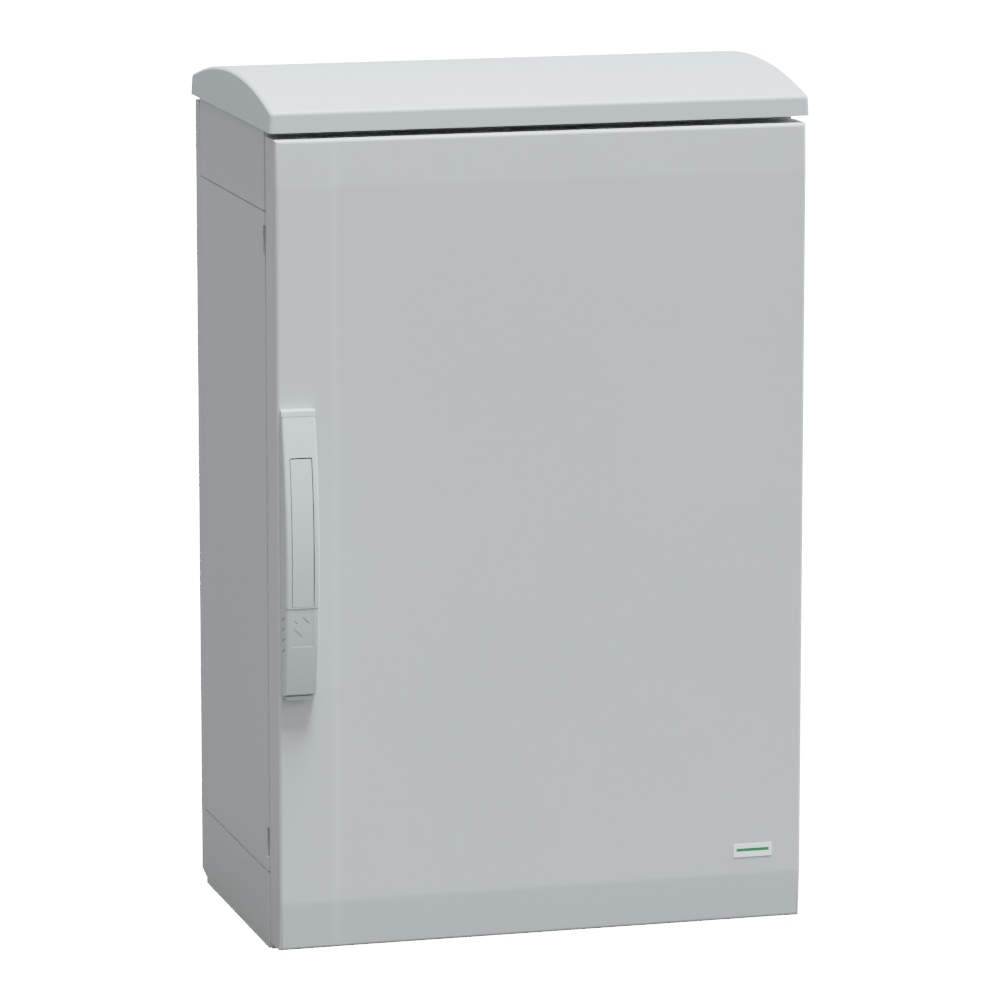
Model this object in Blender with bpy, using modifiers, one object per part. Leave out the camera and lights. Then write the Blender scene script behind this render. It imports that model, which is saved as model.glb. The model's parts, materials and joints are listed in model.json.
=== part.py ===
"""Free-standing moulded outdoor cabinet with an arched rain canopy and a swing-handle door.

Metres, +Z up.  The door faces -Y.  The origin is under the middle of the whole object.
Depths are counted from the door's front face towards the back and turned into world Y by back_of().
"""

import math

import bpy
import bmesh

# ---------------------------------------------------------------- overall sizes
WIDTH = 0.500
DEPTH = 0.3275
BODY_HEIGHT = 0.7595
WALL = 0.004
CLEAR = 0.0003
SLIDE_CLEAR = 0.0005

# ---------------------------------------------------------------- door
DOOR_BOTTOM = 0.0075
DOOR_TOP_GAP = 0.0056
DOOR_DEPTH = 0.0385
DOOR_GAP = 0.0035
DOOR_EDGE_RADIUS = 0.0035
DOOR_BAND_HEIGHT = 0.043
DOOR_BAND_SETBACK = 0.0012
STILE_BAND_WIDTH = 0.0485
STILE_RAMP_WIDTH = 0.0115
FIELD_SETBACK = 0.0006

# ---------------------------------------------------------------- body modules
BASE_HEIGHT = 0.0723
ROOF_MODULE_HEIGHT = 0.0746
SEAM = 0.001
JAMB_WIDTH = 0.052
HEAD_RAIL_HEIGHT = 0.036
SILL_RAIL_HEIGHT = 0.040
BODY_CORNER_RADIUS = 0.004
REAR_FLANGE = 0.024
BACK_PANEL_DEPTH = 0.0215
BACK_PANEL_LIFT = 0.0055
BACK_PANEL_DROP = 0.004
BACK_PANEL_EDGE_RADIUS = 0.003
FLOOR_THICKNESS = 0.005
FLOOR_FLANGE = 0.045
ANCHOR_HOLE_RADIUS = 0.006
REAR_RAIL_HEIGHT = 0.030

# ---------------------------------------------------------------- rain canopy
CANOPY_SIDE_OVERHANG = 0.0018
CANOPY_DRAFT = 0.0024
CANOPY_FRONT_SETBACK = 0.0054
CANOPY_FASCIA = 0.0190
CANOPY_RISE = 0.0210
CANOPY_WALL = 0.003
CANOPY_EDGE_RADIUS = 0.0022
CANOPY_ARC_STEPS = 16
CANOPY_SCREW_FROM_END = 0.060
CANOPY_SCREW_SPREAD = 0.064

# ---------------------------------------------------------------- door seal
RIB_OUTSIDE = 0.0395
RIB_WIDTH = 0.012
RIB_WALL = 0.0027
RIB_SETBACK = 0.0025
GASKET_DEPTH = 0.0134
RIB_TOP_DROP = 0.016
RIB_BOTTOM_LIFT = 0.017

# ---------------------------------------------------------------- hinges
HINGE_FROM_BOTTOM = 0.100
HINGE_FROM_TOP = 0.1017
HINGE_AXIS_INSET = 0.004
HINGE_AXIS_BEHIND = 0.004
HINGE_EYE_RADIUS = 0.0036
HINGE_PIN_RADIUS = 0.0015
HINGE_POCKET_HEIGHT = 0.0276
HINGE_POCKET_WIDTH = 0.014
HINGE_POCKET_DEPTH = 0.0082
HINGE_PLATE = 0.003
HINGE_BRACKET_WIDTH = 0.029
HINGE_BRACKET_HEIGHT = 0.040
LEAF_THICKNESS = 0.0032
LEAF_EYE_HEIGHT = 0.012
LEAF_FOOT_HEIGHT = 0.044

# ---------------------------------------------------------------- swing handle
HANDLE_FROM_EDGE = 0.0178
HANDLE_WIDTH = 0.0316
HANDLE_TOP = 0.5110
HANDLE_BOTTOM = 0.2497
BOW_CENTRE_Z = 0.380
BOW_HEIGHT = 0.0247
BOW_RADIUS_UP = 0.511
BOW_RADIUS_DOWN = 0.720
BOW_STEPS = 12
PLATE_THICKNESS = 0.003
BASE_HALF_WIDTH = 0.0150
LEVER_BACK = 0.0035
LEVER_TOP = 0.5050
LEVER_SEAM_Z = 0.3318
LEVER_SIDE_WALL = 0.0025
LEVER_SKIN = 0.0030
LEVER_TOP_SKIN = 0.0018
LEVER_TOP_CAVITY_Z = 0.488
LEVER_EDGE_RADIUS = 0.0022
SPINDLE_Z = 0.478
SPINDLE_RADIUS = 0.005
SPINDLE_SQUARE = 0.007
SPINDLE_END_GAP = 0.001
HEAD_HALF_WIDTH = 0.009
PIVOT_Z = 0.500
PIVOT_OUT = 0.0060
PIVOT_RADIUS = 0.0013
PIVOT_EYE_RADIUS = 0.0025
LIFT_ANGLE = math.radians(20)
PIVOT_ARC_STEPS = 6
CAP_NECK_HEIGHT = 0.009
CAP_BEVEL = 0.0016
CAP_GAP = 0.00035
INFILL_TOP = 0.4689
INFILL_HALF_WIDTH = 0.0102
INFILL_POCKET = 0.0018
INFILL_TOP_GAP = 0.0015
INFILL_RECESS = 0.0003

# ---------------------------------------------------------------- lock in the lever
TONGUE_HALF_WIDTH = 0.0115
TONGUE_OUT = 0.0095
TONGUE_BOTTOM = 0.2562
COVER_STEP = 0.0008
COVER_SKIN = 0.0022
COVER_FLOOR = 0.0025
INSERT_Z = 0.3090
INSERT_RADIUS = 0.007
INSERT_FLANGE_RADIUS = 0.0085
INSERT_OUT = 0.0130
CRANK_OFFSET = 0.003
CRANK_RADIUS = 0.0018
BOLT_TRAVEL = 0.006
BOLT_HALF_WIDTH = 0.0038
BOLT_OUT = 0.0077
BOLT_IN = 0.0042
BOLT_HEAD_HALF_WIDTH = 0.0084
BOLT_HEAD_HEIGHT = 0.013
CHAMBER_OUT = 0.0080
LIP_TOP = 0.2484
LIP_THICKNESS = 0.0037
LIP_OUT = 0.0093
LIP_HALF_WIDTH = 0.0125

# ---------------------------------------------------------------- rods, rack and pinion
GEAR_MODULE = 0.0015
GEAR_TEETH = 12
GEAR_ADDENDUM_SHARE = 0.8
GEAR_DEDENDUM_SHARE = 1.13
GEAR_BACKLASH = 0.00028
FLANK_SLOPE = 0.36
ROD_BACK = 0.0026
ROD_FRONT = 0.011
ROD_DEPTH = 0.008
ROD_THICKNESS = 0.005
ROD_TIP_GAP = 0.005
RACK_TEETH = 6
CASE_HALF_HEIGHT = 0.026
CASE_WALL = 0.0025
GUIDE_HEIGHT = 0.010
GUIDE_FROM_END = 0.060
GUIDE_WALL = 0.0022
KEEPER_PLATE = 0.003
KEEPER_LIP_DEPTH = 0.0065
LATCH_CAM_FROM_BACK = 0.0085
LATCH_CAM_REACH = 0.0165
LATCH_CAM_THICKNESS = 0.003

# ---------------------------------------------------------------- inside
PLATE_SIDE_MARGIN = 0.035
PLATE_BOTTOM = 0.100
PLATE_TOP_MARGIN = 0.101
MOUNTING_PLATE = 0.002
STANDOFF_LENGTH = 0.035
STANDOFF_RADIUS = 0.008
PLATE_BOLT_INSET = 0.020
GLAND_LAP = 0.010
GLAND_GASKET = 0.003
GLAND_PLATE = 0.003
NAME_PLATE_WIDTH = 0.037
NAME_PLATE_HEIGHT = 0.012
NAME_PLATE_RIGHT_MARGIN = 0.0287
NAME_PLATE_LIFT = 0.061
NAME_PLATE_THICKNESS = 0.0009

# ---------------------------------------------------------------- worked out from the sizes above
BODY_FRONT = DOOR_DEPTH + DOOR_GAP
BODY_BACK = DEPTH - BACK_PANEL_DEPTH - SEAM
HALF_WIDTH = WIDTH / 2
DOOR_TOP = BODY_HEIGHT - DOOR_TOP_GAP
HINGE_HEIGHTS = {"lower": HINGE_FROM_BOTTOM, "upper": BODY_HEIGHT - HINGE_FROM_TOP}
HINGE_AXIS_DEPTH = BODY_FRONT + HINGE_AXIS_BEHIND
HANDLE_X = HANDLE_FROM_EDGE - HALF_WIDTH
SPINDLE_END = DOOR_DEPTH - SPINDLE_END_GAP
LATCH_CAM_DEPTH = DOOR_DEPTH - LATCH_CAM_FROM_BACK
GEAR_ADDENDUM = GEAR_ADDENDUM_SHARE * GEAR_MODULE
GEAR_DEDENDUM = GEAR_DEDENDUM_SHARE * GEAR_MODULE
PLATE_WIDTH = WIDTH - 2 * PLATE_SIDE_MARGIN
PLATE_HEIGHT = BODY_HEIGHT - PLATE_BOTTOM - PLATE_TOP_MARGIN
CANOPY_SCREW_X = HALF_WIDTH - CANOPY_SCREW_FROM_END
ROOF_SEAM_Z = BODY_HEIGHT - ROOF_MODULE_HEIGHT
FRONT_Y = BOW_HEIGHT - (DEPTH + BOW_HEIGHT) / 2
HINGE_X = HALF_WIDTH - HINGE_AXIS_INSET
PITCH_RADIUS = GEAR_MODULE * GEAR_TEETH / 2
PITCH = math.pi * GEAR_MODULE
ROD_OUTER = PITCH_RADIUS + GEAR_DEDENDUM + ROD_BACK
CANOPY_BOTTOM = BODY_HEIGHT + CLEAR
CANOPY_EAVES = CANOPY_BOTTOM + CANOPY_FASCIA
FLUSH_CLEAR = 0.0006

PARTS_NAME = "outdoor_cabinet"
PARTS = None
CUTTERS = None


# ================================================================ helpers
def back_of(depth):
    """World Y of a depth counted from the door's front face."""
    return FRONT_Y + depth


def clear_scene():
    for item in list(bpy.data.objects):
        bpy.data.objects.remove(item, do_unlink=True)


def new_collection(name):
    collection = bpy.data.collections.new(name)
    bpy.context.scene.collection.children.link(collection)
    return collection


def principled(name, colour, roughness, metallic=0.0):
    material = bpy.data.materials.new(name)
    material.use_nodes = True
    shader = material.node_tree.nodes["Principled BSDF"]
    shader.inputs["Base Color"].default_value = (*colour, 1.0)
    shader.inputs["Roughness"].default_value = roughness
    shader.inputs["Metallic"].default_value = metallic
    return material


def moulded(name):
    return principled(name, (0.49, 0.52, 0.52), 0.45)


def steel(name):
    return principled(name, (0.62, 0.63, 0.64), 0.35, 1.0)


def rubber(name):
    return principled(name, (0.03, 0.03, 0.03), 0.8)


def place(name, mesh, material=None, location=(0, 0, 0), rotation=(0, 0, 0)):
    """An object in the parts' collection, or in the cutters' when it has no material."""
    item = bpy.data.objects.new(name, mesh)
    item.location = location
    item.rotation_euler = rotation
    if material is None:
        CUTTERS.objects.link(item)
        item.hide_render = True
        item.display_type = "WIRE"
        return item
    PARTS.objects.link(item)
    mesh.materials.append(material)
    return item


def box(name, low, high, material=None):
    """A box between two corners given as (x, depth, z)."""
    size = [high[i] - low[i] for i in range(3)]
    middle = [(high[i] + low[i]) / 2 for i in range(3)]
    mesh = bpy.data.meshes.new(name)
    shape = bmesh.new()
    bmesh.ops.create_cube(shape, size=1.0)
    bmesh.ops.scale(shape, vec=size, verts=shape.verts)
    shape.to_mesh(mesh)
    shape.free()
    return place(name, mesh, material, (middle[0], back_of(middle[1]), middle[2]))


AXIS_TURN = {"x": (0, math.pi / 2, 0), "y": (-math.pi / 2, 0, 0), "z": (0, 0, 0)}


def rod(name, centre, radius, length, axis, material=None, sides=24):
    """A round bar about a centre (x, depth, z), along one axis."""
    mesh = bpy.data.meshes.new(name)
    shape = bmesh.new()
    bmesh.ops.create_cone(
        shape, cap_ends=True, segments=sides, radius1=radius, radius2=radius, depth=length
    )
    shape.to_mesh(mesh)
    shape.free()
    mesh.shade_smooth()
    mesh.set_sharp_from_angle(angle=math.radians(40))
    place_at = (centre[0], back_of(centre[1]), centre[2])
    return place(name, mesh, material, place_at, AXIS_TURN[axis])


OUTLINE_TURN = {"x": (math.pi / 2, 0, math.pi / 2), "y": (math.pi / 2, 0, 0), "z": (0, 0, 0)}


def outline(name, points, axis, low, high, material=None):
    """A flat outline drawn out between two values of one axis.

    axis x takes (depth, z) points, axis y takes (x, z) points, axis z takes (x, depth) points.
    """
    curve = bpy.data.curves.new(name + "_outline", "CURVE")
    curve.dimensions = "2D"
    curve.fill_mode = "BOTH"
    curve.extrude = (high - low) / 2
    spline = curve.splines.new("POLY")
    spline.points.add(len(points) - 1)
    for point, (first, second) in zip(spline.points, points):
        if axis == "x":
            first = back_of(first)
        if axis == "z":
            second = back_of(second)
        point.co = (first, second, 0, 1)
    spline.use_cyclic_u = True
    drawn = bpy.data.objects.new(name + "_outline", curve)
    bpy.context.scene.collection.objects.link(drawn)
    bpy.context.view_layer.update()
    mesh = bpy.data.meshes.new_from_object(drawn.evaluated_get(bpy.context.evaluated_depsgraph_get()))
    bpy.data.objects.remove(drawn, do_unlink=True)
    bpy.data.curves.remove(curve)
    mesh.name = name
    mesh.materials.clear()
    shape = bmesh.new()
    shape.from_mesh(mesh)
    bmesh.ops.remove_doubles(shape, verts=shape.verts, dist=0.00001)
    bmesh.ops.dissolve_limit(
        shape, angle_limit=math.radians(0.5), verts=shape.verts, edges=shape.edges
    )
    bmesh.ops.recalc_face_normals(shape, faces=shape.faces)
    shape.to_mesh(mesh)
    shape.free()
    middle = (low + high) / 2
    location = {"x": (middle, 0, 0), "y": (0, back_of(middle), 0), "z": (0, 0, middle)}[axis]
    return place(name, mesh, material, location, OUTLINE_TURN[axis])


def boolean(item, other, operation):
    modifier = item.modifiers.new(other.name, "BOOLEAN")
    modifier.operation = operation
    modifier.object = other
    modifier.solver = "EXACT"


def cut(item, *others):
    for other in others:
        boolean(item, other, "DIFFERENCE")


def join(item, *others):
    for other in others:
        boolean(item, other, "UNION")


def same(first, second):
    return abs(first - second) < 0.00001


def round_edges(item, radius, steps, keep):
    """Rounds the mesh edges whose two ends, in local axes, pass a test."""
    shape = bmesh.new()
    shape.from_mesh(item.data)
    chosen = [edge for edge in shape.edges if keep(edge.verts[0].co, edge.verts[1].co)]
    bmesh.ops.bevel(
        shape, geom=chosen, offset=radius, segments=steps, profile=0.5, affect="EDGES"
    )
    shape.to_mesh(item.data)
    shape.free()


def soften(item, radius, steps=2):
    modifier = item.modifiers.new("rounded_edges", "BEVEL")
    modifier.width = radius
    modifier.segments = steps
    modifier.limit_method = "ANGLE"
    modifier.angle_limit = math.radians(40)


def ring(name, outer_low, outer_high, width, material):
    """A rectangular frame between two corners (x, depth, z), open along the depth."""
    frame = box(name, outer_low, outer_high, material)
    hole = box(
        name + "_hole",
        (outer_low[0] + width, outer_low[1] - WALL, outer_low[2] + width),
        (outer_high[0] - width, outer_high[1] + WALL, outer_high[2] - width),
    )
    cut(frame, hole)
    return frame


def arc(centre, radius, start, end, steps):
    """Points along a circle from one angle to another, in degrees."""
    turn = [math.radians(start + (end - start) * i / steps) for i in range(steps + 1)]
    return [(centre[0] + radius * math.cos(a), centre[1] + radius * math.sin(a)) for a in turn]


def mirrored(points):
    return [(-x, y) for x, y in reversed(points)]


# ================================================================ body
def build_roof_module():
    low = ROOF_SEAM_Z + SEAM / 2
    module = box(
        "roof_module",
        (-HALF_WIDTH, BODY_FRONT, low),
        (HALF_WIDTH, BODY_BACK, BODY_HEIGHT),
        moulded("roof_module_moulding"),
    )
    round_edges(module, BODY_CORNER_RADIUS, 4, is_upright_front_edge)
    cut(
        module,
        box(
            "roof_inside",
            (-HALF_WIDTH + WALL, BODY_FRONT + WALL, low - WALL),
            (HALF_WIDTH - WALL, BODY_BACK - WALL, BODY_HEIGHT - WALL),
        ),
        box(
            "roof_doorway",
            (-HALF_WIDTH + JAMB_WIDTH, BODY_FRONT - WALL, low - WALL),
            (HALF_WIDTH - JAMB_WIDTH, BODY_FRONT + 2 * WALL, BODY_HEIGHT - HEAD_RAIL_HEIGHT),
        ),
        box(
            "roof_back_opening",
            (-HALF_WIDTH + REAR_FLANGE, BODY_BACK - 2 * WALL, low - WALL),
            (HALF_WIDTH - REAR_FLANGE, BODY_BACK + WALL, BODY_HEIGHT - REAR_RAIL_HEIGHT),
        ),
    )
    for number, (x, depth) in enumerate(canopy_screw_places(), 1):
        hole = rod(
            f"roof_screw_hole_{number}", (x, depth, BODY_HEIGHT), 0.0033, 4 * WALL, "z", sides=16
        )
        cut(module, hole)
    return module


def is_upright_front_edge(first, second):
    return first.y < 0 and second.y < 0 and same(first.x, second.x)


def side_panel_outline():
    """The right-hand panel's plan: wall, jamb flange at the front and a flange at the back."""
    outer = HALF_WIDTH
    inner = HALF_WIDTH - WALL
    radius = BODY_CORNER_RADIUS
    corner = arc((outer - radius, BODY_FRONT + radius), radius, -90, 0, 4)
    return [
        (outer - JAMB_WIDTH, BODY_FRONT),
        *corner,
        (outer, BODY_BACK),
        (outer - REAR_FLANGE, BODY_BACK),
        (outer - REAR_FLANGE, BODY_BACK - WALL),
        (inner, BODY_BACK - WALL),
        (inner, BODY_FRONT + WALL),
        (outer - JAMB_WIDTH, BODY_FRONT + WALL),
    ]


def build_side_panels():
    low = BASE_HEIGHT + SEAM / 2
    high = ROOF_SEAM_Z - SEAM / 2
    for side, sign in (("left", -1), ("right", 1)):
        points = side_panel_outline()
        if sign < 0:
            points = mirrored(points)
        panel = outline(
            f"side_panel_{side}", points, "z", low, high, moulded(f"side_panel_{side}_moulding")
        )
        for place_name, height in HINGE_HEIGHTS.items():
            near = sign * (HALF_WIDTH - HINGE_POCKET_WIDTH)
            far = sign * (HALF_WIDTH + WALL)
            pocket = box(
                f"hinge_pocket_{side}_{place_name}",
                (min(near, far), BODY_FRONT - WALL, height - HINGE_POCKET_HEIGHT / 2),
                (max(near, far), BODY_FRONT + HINGE_POCKET_DEPTH, height + HINGE_POCKET_HEIGHT / 2),
            )
            cut(panel, pocket)


def build_base_module():
    high = BASE_HEIGHT - SEAM / 2
    module = box(
        "base_module",
        (-HALF_WIDTH, BODY_FRONT, 0),
        (HALF_WIDTH, BODY_BACK, high),
        moulded("base_module_moulding"),
    )
    round_edges(module, BODY_CORNER_RADIUS, 4, is_upright_front_edge)
    cut(
        module,
        box(
            "base_inside",
            (-HALF_WIDTH + WALL, BODY_FRONT + WALL, FLOOR_THICKNESS),
            (HALF_WIDTH - WALL, BODY_BACK - WALL, high + WALL),
        ),
        box(
            "base_doorway",
            (-HALF_WIDTH + JAMB_WIDTH, BODY_FRONT - WALL, SILL_RAIL_HEIGHT),
            (HALF_WIDTH - JAMB_WIDTH, BODY_FRONT + 2 * WALL, high + WALL),
        ),
        box(
            "base_back_opening",
            (-HALF_WIDTH + REAR_FLANGE, BODY_BACK - 2 * WALL, REAR_RAIL_HEIGHT),
            (HALF_WIDTH - REAR_FLANGE, BODY_BACK + WALL, high + WALL),
        ),
        box(
            "base_cable_opening",
            (-HALF_WIDTH + FLOOR_FLANGE, BODY_FRONT + FLOOR_FLANGE, -WALL),
            (HALF_WIDTH - FLOOR_FLANGE, BODY_BACK - FLOOR_FLANGE, FLOOR_THICKNESS + WALL),
        ),
    )
    half = FLOOR_FLANGE / 2
    for number, (x, depth) in enumerate(
        [
            (sign * (HALF_WIDTH - half), depth)
            for sign in (-1, 1)
            for depth in (BODY_FRONT + half, BODY_BACK - half)
        ],
        1,
    ):
        cut(module, rod(f"anchor_hole_{number}", (x, depth, 0), ANCHOR_HOLE_RADIUS, 4 * WALL, "z", sides=20))
    for number, (x, depth) in enumerate(gland_screw_places(), 1):
        cut(module, rod(f"floor_screw_hole_{number}", (x, depth, 0), 0.0024, 4 * WALL, "z", sides=12))
    return module


def build_back_panel():
    front = BODY_BACK + SEAM
    low = BACK_PANEL_LIFT
    high = BODY_HEIGHT - BACK_PANEL_DROP
    panel = box(
        "back_panel",
        (-HALF_WIDTH, front, low),
        (HALF_WIDTH, DEPTH, high),
        moulded("back_panel_moulding"),
    )
    round_edges(panel, BACK_PANEL_EDGE_RADIUS, 3, lambda first, second: first.y > 0 and second.y > 0)
    cut(
        panel,
        box(
            "back_panel_inside",
            (-HALF_WIDTH + WALL, front - WALL, low + WALL),
            (HALF_WIDTH - WALL, DEPTH - WALL, high - WALL),
        ),
    )
    return panel


# ================================================================ rain canopy
def canopy_arc(inset, steps):
    """Points of the arched top from the back edge to the front edge, drawn in by an inset."""
    half = (DEPTH - CANOPY_FRONT_SETBACK) / 2 - inset
    radius = (half * half + CANOPY_RISE * CANOPY_RISE) / (2 * CANOPY_RISE)
    middle = (CANOPY_FRONT_SETBACK + DEPTH) / 2
    centre = CANOPY_EAVES - inset + CANOPY_RISE - radius
    reach = math.asin(half / radius)
    return [
        (
            middle + radius * math.sin(reach * (1 - 2 * i / steps)),
            centre + radius * math.cos(reach * (1 - 2 * i / steps)),
        )
        for i in range(steps + 1)
    ]


def widen_to_rim(item):
    """Widens a canopy solid steadily from its crown down to its rim, as the mould's draft does.

    Before it is turned into place, an outline along x has its height in y and its length in z.
    """
    crown = CANOPY_EAVES + CANOPY_RISE
    for corner in item.data.vertices:
        share = (crown - corner.co.y) / (crown - CANOPY_BOTTOM)
        corner.co.z += math.copysign(CANOPY_DRAFT * share, corner.co.z)


def canopy_screw_places():
    middle = (CANOPY_FRONT_SETBACK + DEPTH) / 2
    depths = (middle - CANOPY_SCREW_SPREAD, middle + CANOPY_SCREW_SPREAD)
    return [(sign * CANOPY_SCREW_X, depth) for sign in (-1, 1) for depth in depths]


def build_rain_canopy():
    half = HALF_WIDTH + CANOPY_SIDE_OVERHANG
    front = CANOPY_FRONT_SETBACK
    top = canopy_arc(0, CANOPY_ARC_STEPS)
    canopy = outline(
        "rain_canopy",
        [(front, CANOPY_BOTTOM), (DEPTH, CANOPY_BOTTOM), *top],
        "x",
        -half,
        half,
        moulded("rain_canopy_moulding"),
    )
    widen_to_rim(canopy)
    soften(canopy, CANOPY_EDGE_RADIUS, 2)
    inner = canopy_arc(CANOPY_WALL, CANOPY_ARC_STEPS)
    hollow = outline(
        "canopy_inside",
        [
            (front + CANOPY_WALL, CANOPY_BOTTOM - WALL),
            (DEPTH - CANOPY_WALL, CANOPY_BOTTOM - WALL),
            *inner,
        ],
        "x",
        -half + CANOPY_WALL,
        half - CANOPY_WALL,
    )
    widen_to_rim(hollow)
    cut(canopy, hollow)
    fall = CANOPY_RISE * (CANOPY_SCREW_SPREAD / ((DEPTH - front) / 2)) ** 2
    boss_top = CANOPY_EAVES + CANOPY_RISE - fall - CANOPY_WALL / 2
    boss_low = BODY_HEIGHT + CLEAR
    for number, (x, depth) in enumerate(canopy_screw_places(), 1):
        middle = (boss_low + boss_top) / 2
        boss = rod(f"canopy_boss_{number}", (x, depth, middle), 0.0065, boss_top - boss_low, "z", sides=16)
        pilot = rod(f"canopy_pilot_{number}", (x, depth, boss_low), 0.0033, 0.026, "z", sides=12)
        join(canopy, boss)
        cut(canopy, pilot)
        build_canopy_screw(number, x, depth)
    return canopy


def screw(name, centre, radius, length, head_radius, head_height, axis, head_side, material):
    """A screw whose head's inner face is at the centre; the shank runs away from head_side."""
    offset = {"x": (1, 0, 0), "y": (0, 1, 0), "z": (0, 0, 1)}[axis]
    head_centre = [centre[i] + offset[i] * head_side * head_height / 2 for i in range(3)]
    head = rod(name, head_centre, head_radius, head_height, axis, material, sides=6)
    overlap = head_height / 2
    run = length + overlap
    shank_centre = [centre[i] - offset[i] * head_side * (run / 2 - overlap) for i in range(3)]
    join(head, rod(name + "_shank", shank_centre, radius, run, axis, sides=12))
    return head


def build_canopy_screw(number, x, depth):
    under_roof = BODY_HEIGHT - WALL - CLEAR
    screw(
        f"canopy_screw_{number}",
        (x, depth, under_roof),
        0.003,
        WALL + 0.010,
        0.0055,
        0.004,
        "z",
        -1,
        steel(f"canopy_screw_{number}_steel"),
    )


# ================================================================ door
def rib_box(margin, low_depth, high_depth):
    """Corners of the seal rib's rectangle, drawn in by a margin."""
    side = HALF_WIDTH - RIB_OUTSIDE - margin
    low = DOOR_BOTTOM + RIB_BOTTOM_LIFT + margin
    high = DOOR_TOP - RIB_TOP_DROP - margin
    return (-side, low_depth, low), (side, high_depth, high)


def build_door_shell():
    band = DOOR_BAND_HEIGHT
    profile = [
        (DOOR_BAND_SETBACK, DOOR_BOTTOM),
        (DOOR_DEPTH, DOOR_BOTTOM),
        (DOOR_DEPTH, DOOR_TOP),
        (DOOR_BAND_SETBACK, DOOR_TOP),
        (0, DOOR_TOP - band),
        (0, DOOR_BOTTOM + band),
    ]
    door = outline("door_shell", profile, "x", -HALF_WIDTH, HALF_WIDTH, moulded("door_moulding"))
    round_edges(door, DOOR_EDGE_RADIUS, 4, is_door_front_edge)
    ramp_start = -HALF_WIDTH + STILE_BAND_WIDTH
    ramp_end = ramp_start + STILE_RAMP_WIDTH
    beyond = HALF_WIDTH + WALL
    field = outline(
        "door_field",
        [
            (ramp_start, 0),
            (ramp_end, FIELD_SETBACK),
            (beyond, FIELD_SETBACK),
            (beyond, -WALL),
            (ramp_start, -WALL),
        ],
        "z",
        DOOR_BOTTOM - WALL,
        DOOR_TOP + WALL,
    )
    inside = box(
        "door_inside",
        (-HALF_WIDTH + WALL, WALL, DOOR_BOTTOM + WALL),
        (HALF_WIDTH - WALL, DOOR_DEPTH + WALL, DOOR_TOP - WALL),
    )
    cut(door, field, inside)
    rib_back = DOOR_DEPTH - RIB_SETBACK
    rib = box("seal_rib", *rib_box(0, WALL - 0.001, rib_back))
    cut(rib, box("seal_rib_middle", *rib_box(RIB_WIDTH, -WALL, DOOR_DEPTH + WALL)))
    join(door, rib)
    gasket_front = BODY_FRONT - CLEAR - GASKET_DEPTH
    groove = box("seal_groove", *rib_box(RIB_WALL, gasket_front - CLEAR, DOOR_DEPTH + WALL))
    cut(groove, box("seal_groove_middle", *rib_box(RIB_WIDTH - RIB_WALL, -WALL, DOOR_DEPTH + 2 * WALL)))
    cut(door, groove)
    spindle_hole = rod(
        "door_spindle_hole", (HANDLE_X, WALL / 2, SPINDLE_Z), SPINDLE_RADIUS + CLEAR, 3 * WALL, "y"
    )
    cut(door, spindle_hole)
    for number, height in enumerate(handle_screw_heights(), 1):
        cut(door, rod(f"door_screw_hole_{number}", (HANDLE_X, WALL / 2, height), 0.0023, 3 * WALL, "y", sides=12))
    return door


def is_door_front_edge(first, second):
    """True for an edge around the rim of the door's front face, in the outline's own axes."""
    if max(first.x, second.x) > back_of(DOOR_DEPTH / 2):
        return False
    on_side = same(first.z, second.z)
    on_end = same(first.y, second.y) and (same(first.y, DOOR_BOTTOM) or same(first.y, DOOR_TOP))
    return on_side or on_end


def is_handle_side_edge(first, second):
    """True for an edge up either side of the handle's bowed front, in the outline's own axes."""
    return max(first.x, second.x) < back_of(-LEVER_BACK - 0.001) and same(first.z, second.z)


def build_door_gasket():
    margin = RIB_WALL + CLEAR
    gasket_back = BODY_FRONT - CLEAR
    low, high = rib_box(margin, gasket_back - GASKET_DEPTH, gasket_back)
    return ring("door_gasket", low, high, RIB_WIDTH - 2 * margin, rubber("seal_rubber"))


def build_name_plate():
    right = HALF_WIDTH - NAME_PLATE_RIGHT_MARGIN
    low = DOOR_BOTTOM + NAME_PLATE_LIFT
    back = FIELD_SETBACK - CLEAR
    plate = box(
        "name_plate",
        (right - NAME_PLATE_WIDTH, back - NAME_PLATE_THICKNESS, low),
        (right, back, low + NAME_PLATE_HEIGHT),
        principled("name_plate_film", (0.75, 0.79, 0.80), 0.4),
    )
    return plate


# ================================================================ hinges
def build_hinges():
    for place_name, height in HINGE_HEIGHTS.items():
        build_hinge_bracket(place_name, height)
        build_hinge_pin(place_name, height)
        build_hinge_leaf(place_name, height)


def build_hinge_bracket(place_name, height):
    back_of_jamb = BODY_FRONT + WALL + CLEAR
    edge = HALF_WIDTH - HINGE_POCKET_WIDTH - 0.003
    half = HINGE_BRACKET_HEIGHT / 2
    bracket = box(
        f"hinge_bracket_{place_name}",
        (edge - HINGE_BRACKET_WIDTH, back_of_jamb, height - half),
        (edge, back_of_jamb + HINGE_PLATE, height + half),
        steel(f"hinge_bracket_{place_name}_steel"),
    )
    inner = LEAF_EYE_HEIGHT / 2 + FLUSH_CLEAR
    outer = HINGE_POCKET_HEIGHT / 2 - 0.001
    for end, sign in (("top", 1), ("bottom", -1)):
        middle = height + sign * (inner + outer) / 2
        length = outer - inner
        eye = rod(
            f"bracket_eye_{place_name}_{end}",
            (HINGE_X, HINGE_AXIS_DEPTH, middle),
            HINGE_EYE_RADIUS,
            length,
            "z",
        )
        arm = box(
            f"bracket_arm_{place_name}_{end}",
            (edge - WALL, back_of_jamb, middle - length / 2),
            (HINGE_X, back_of_jamb + HINGE_PLATE, middle + length / 2),
        )
        join(bracket, arm, eye)
    bore = rod(
        f"bracket_bore_{place_name}",
        (HINGE_X, HINGE_AXIS_DEPTH, height),
        HINGE_PIN_RADIUS + CLEAR,
        HINGE_POCKET_HEIGHT * 2,
        "z",
        sides=20,
    )
    cut(bracket, bore)


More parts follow.
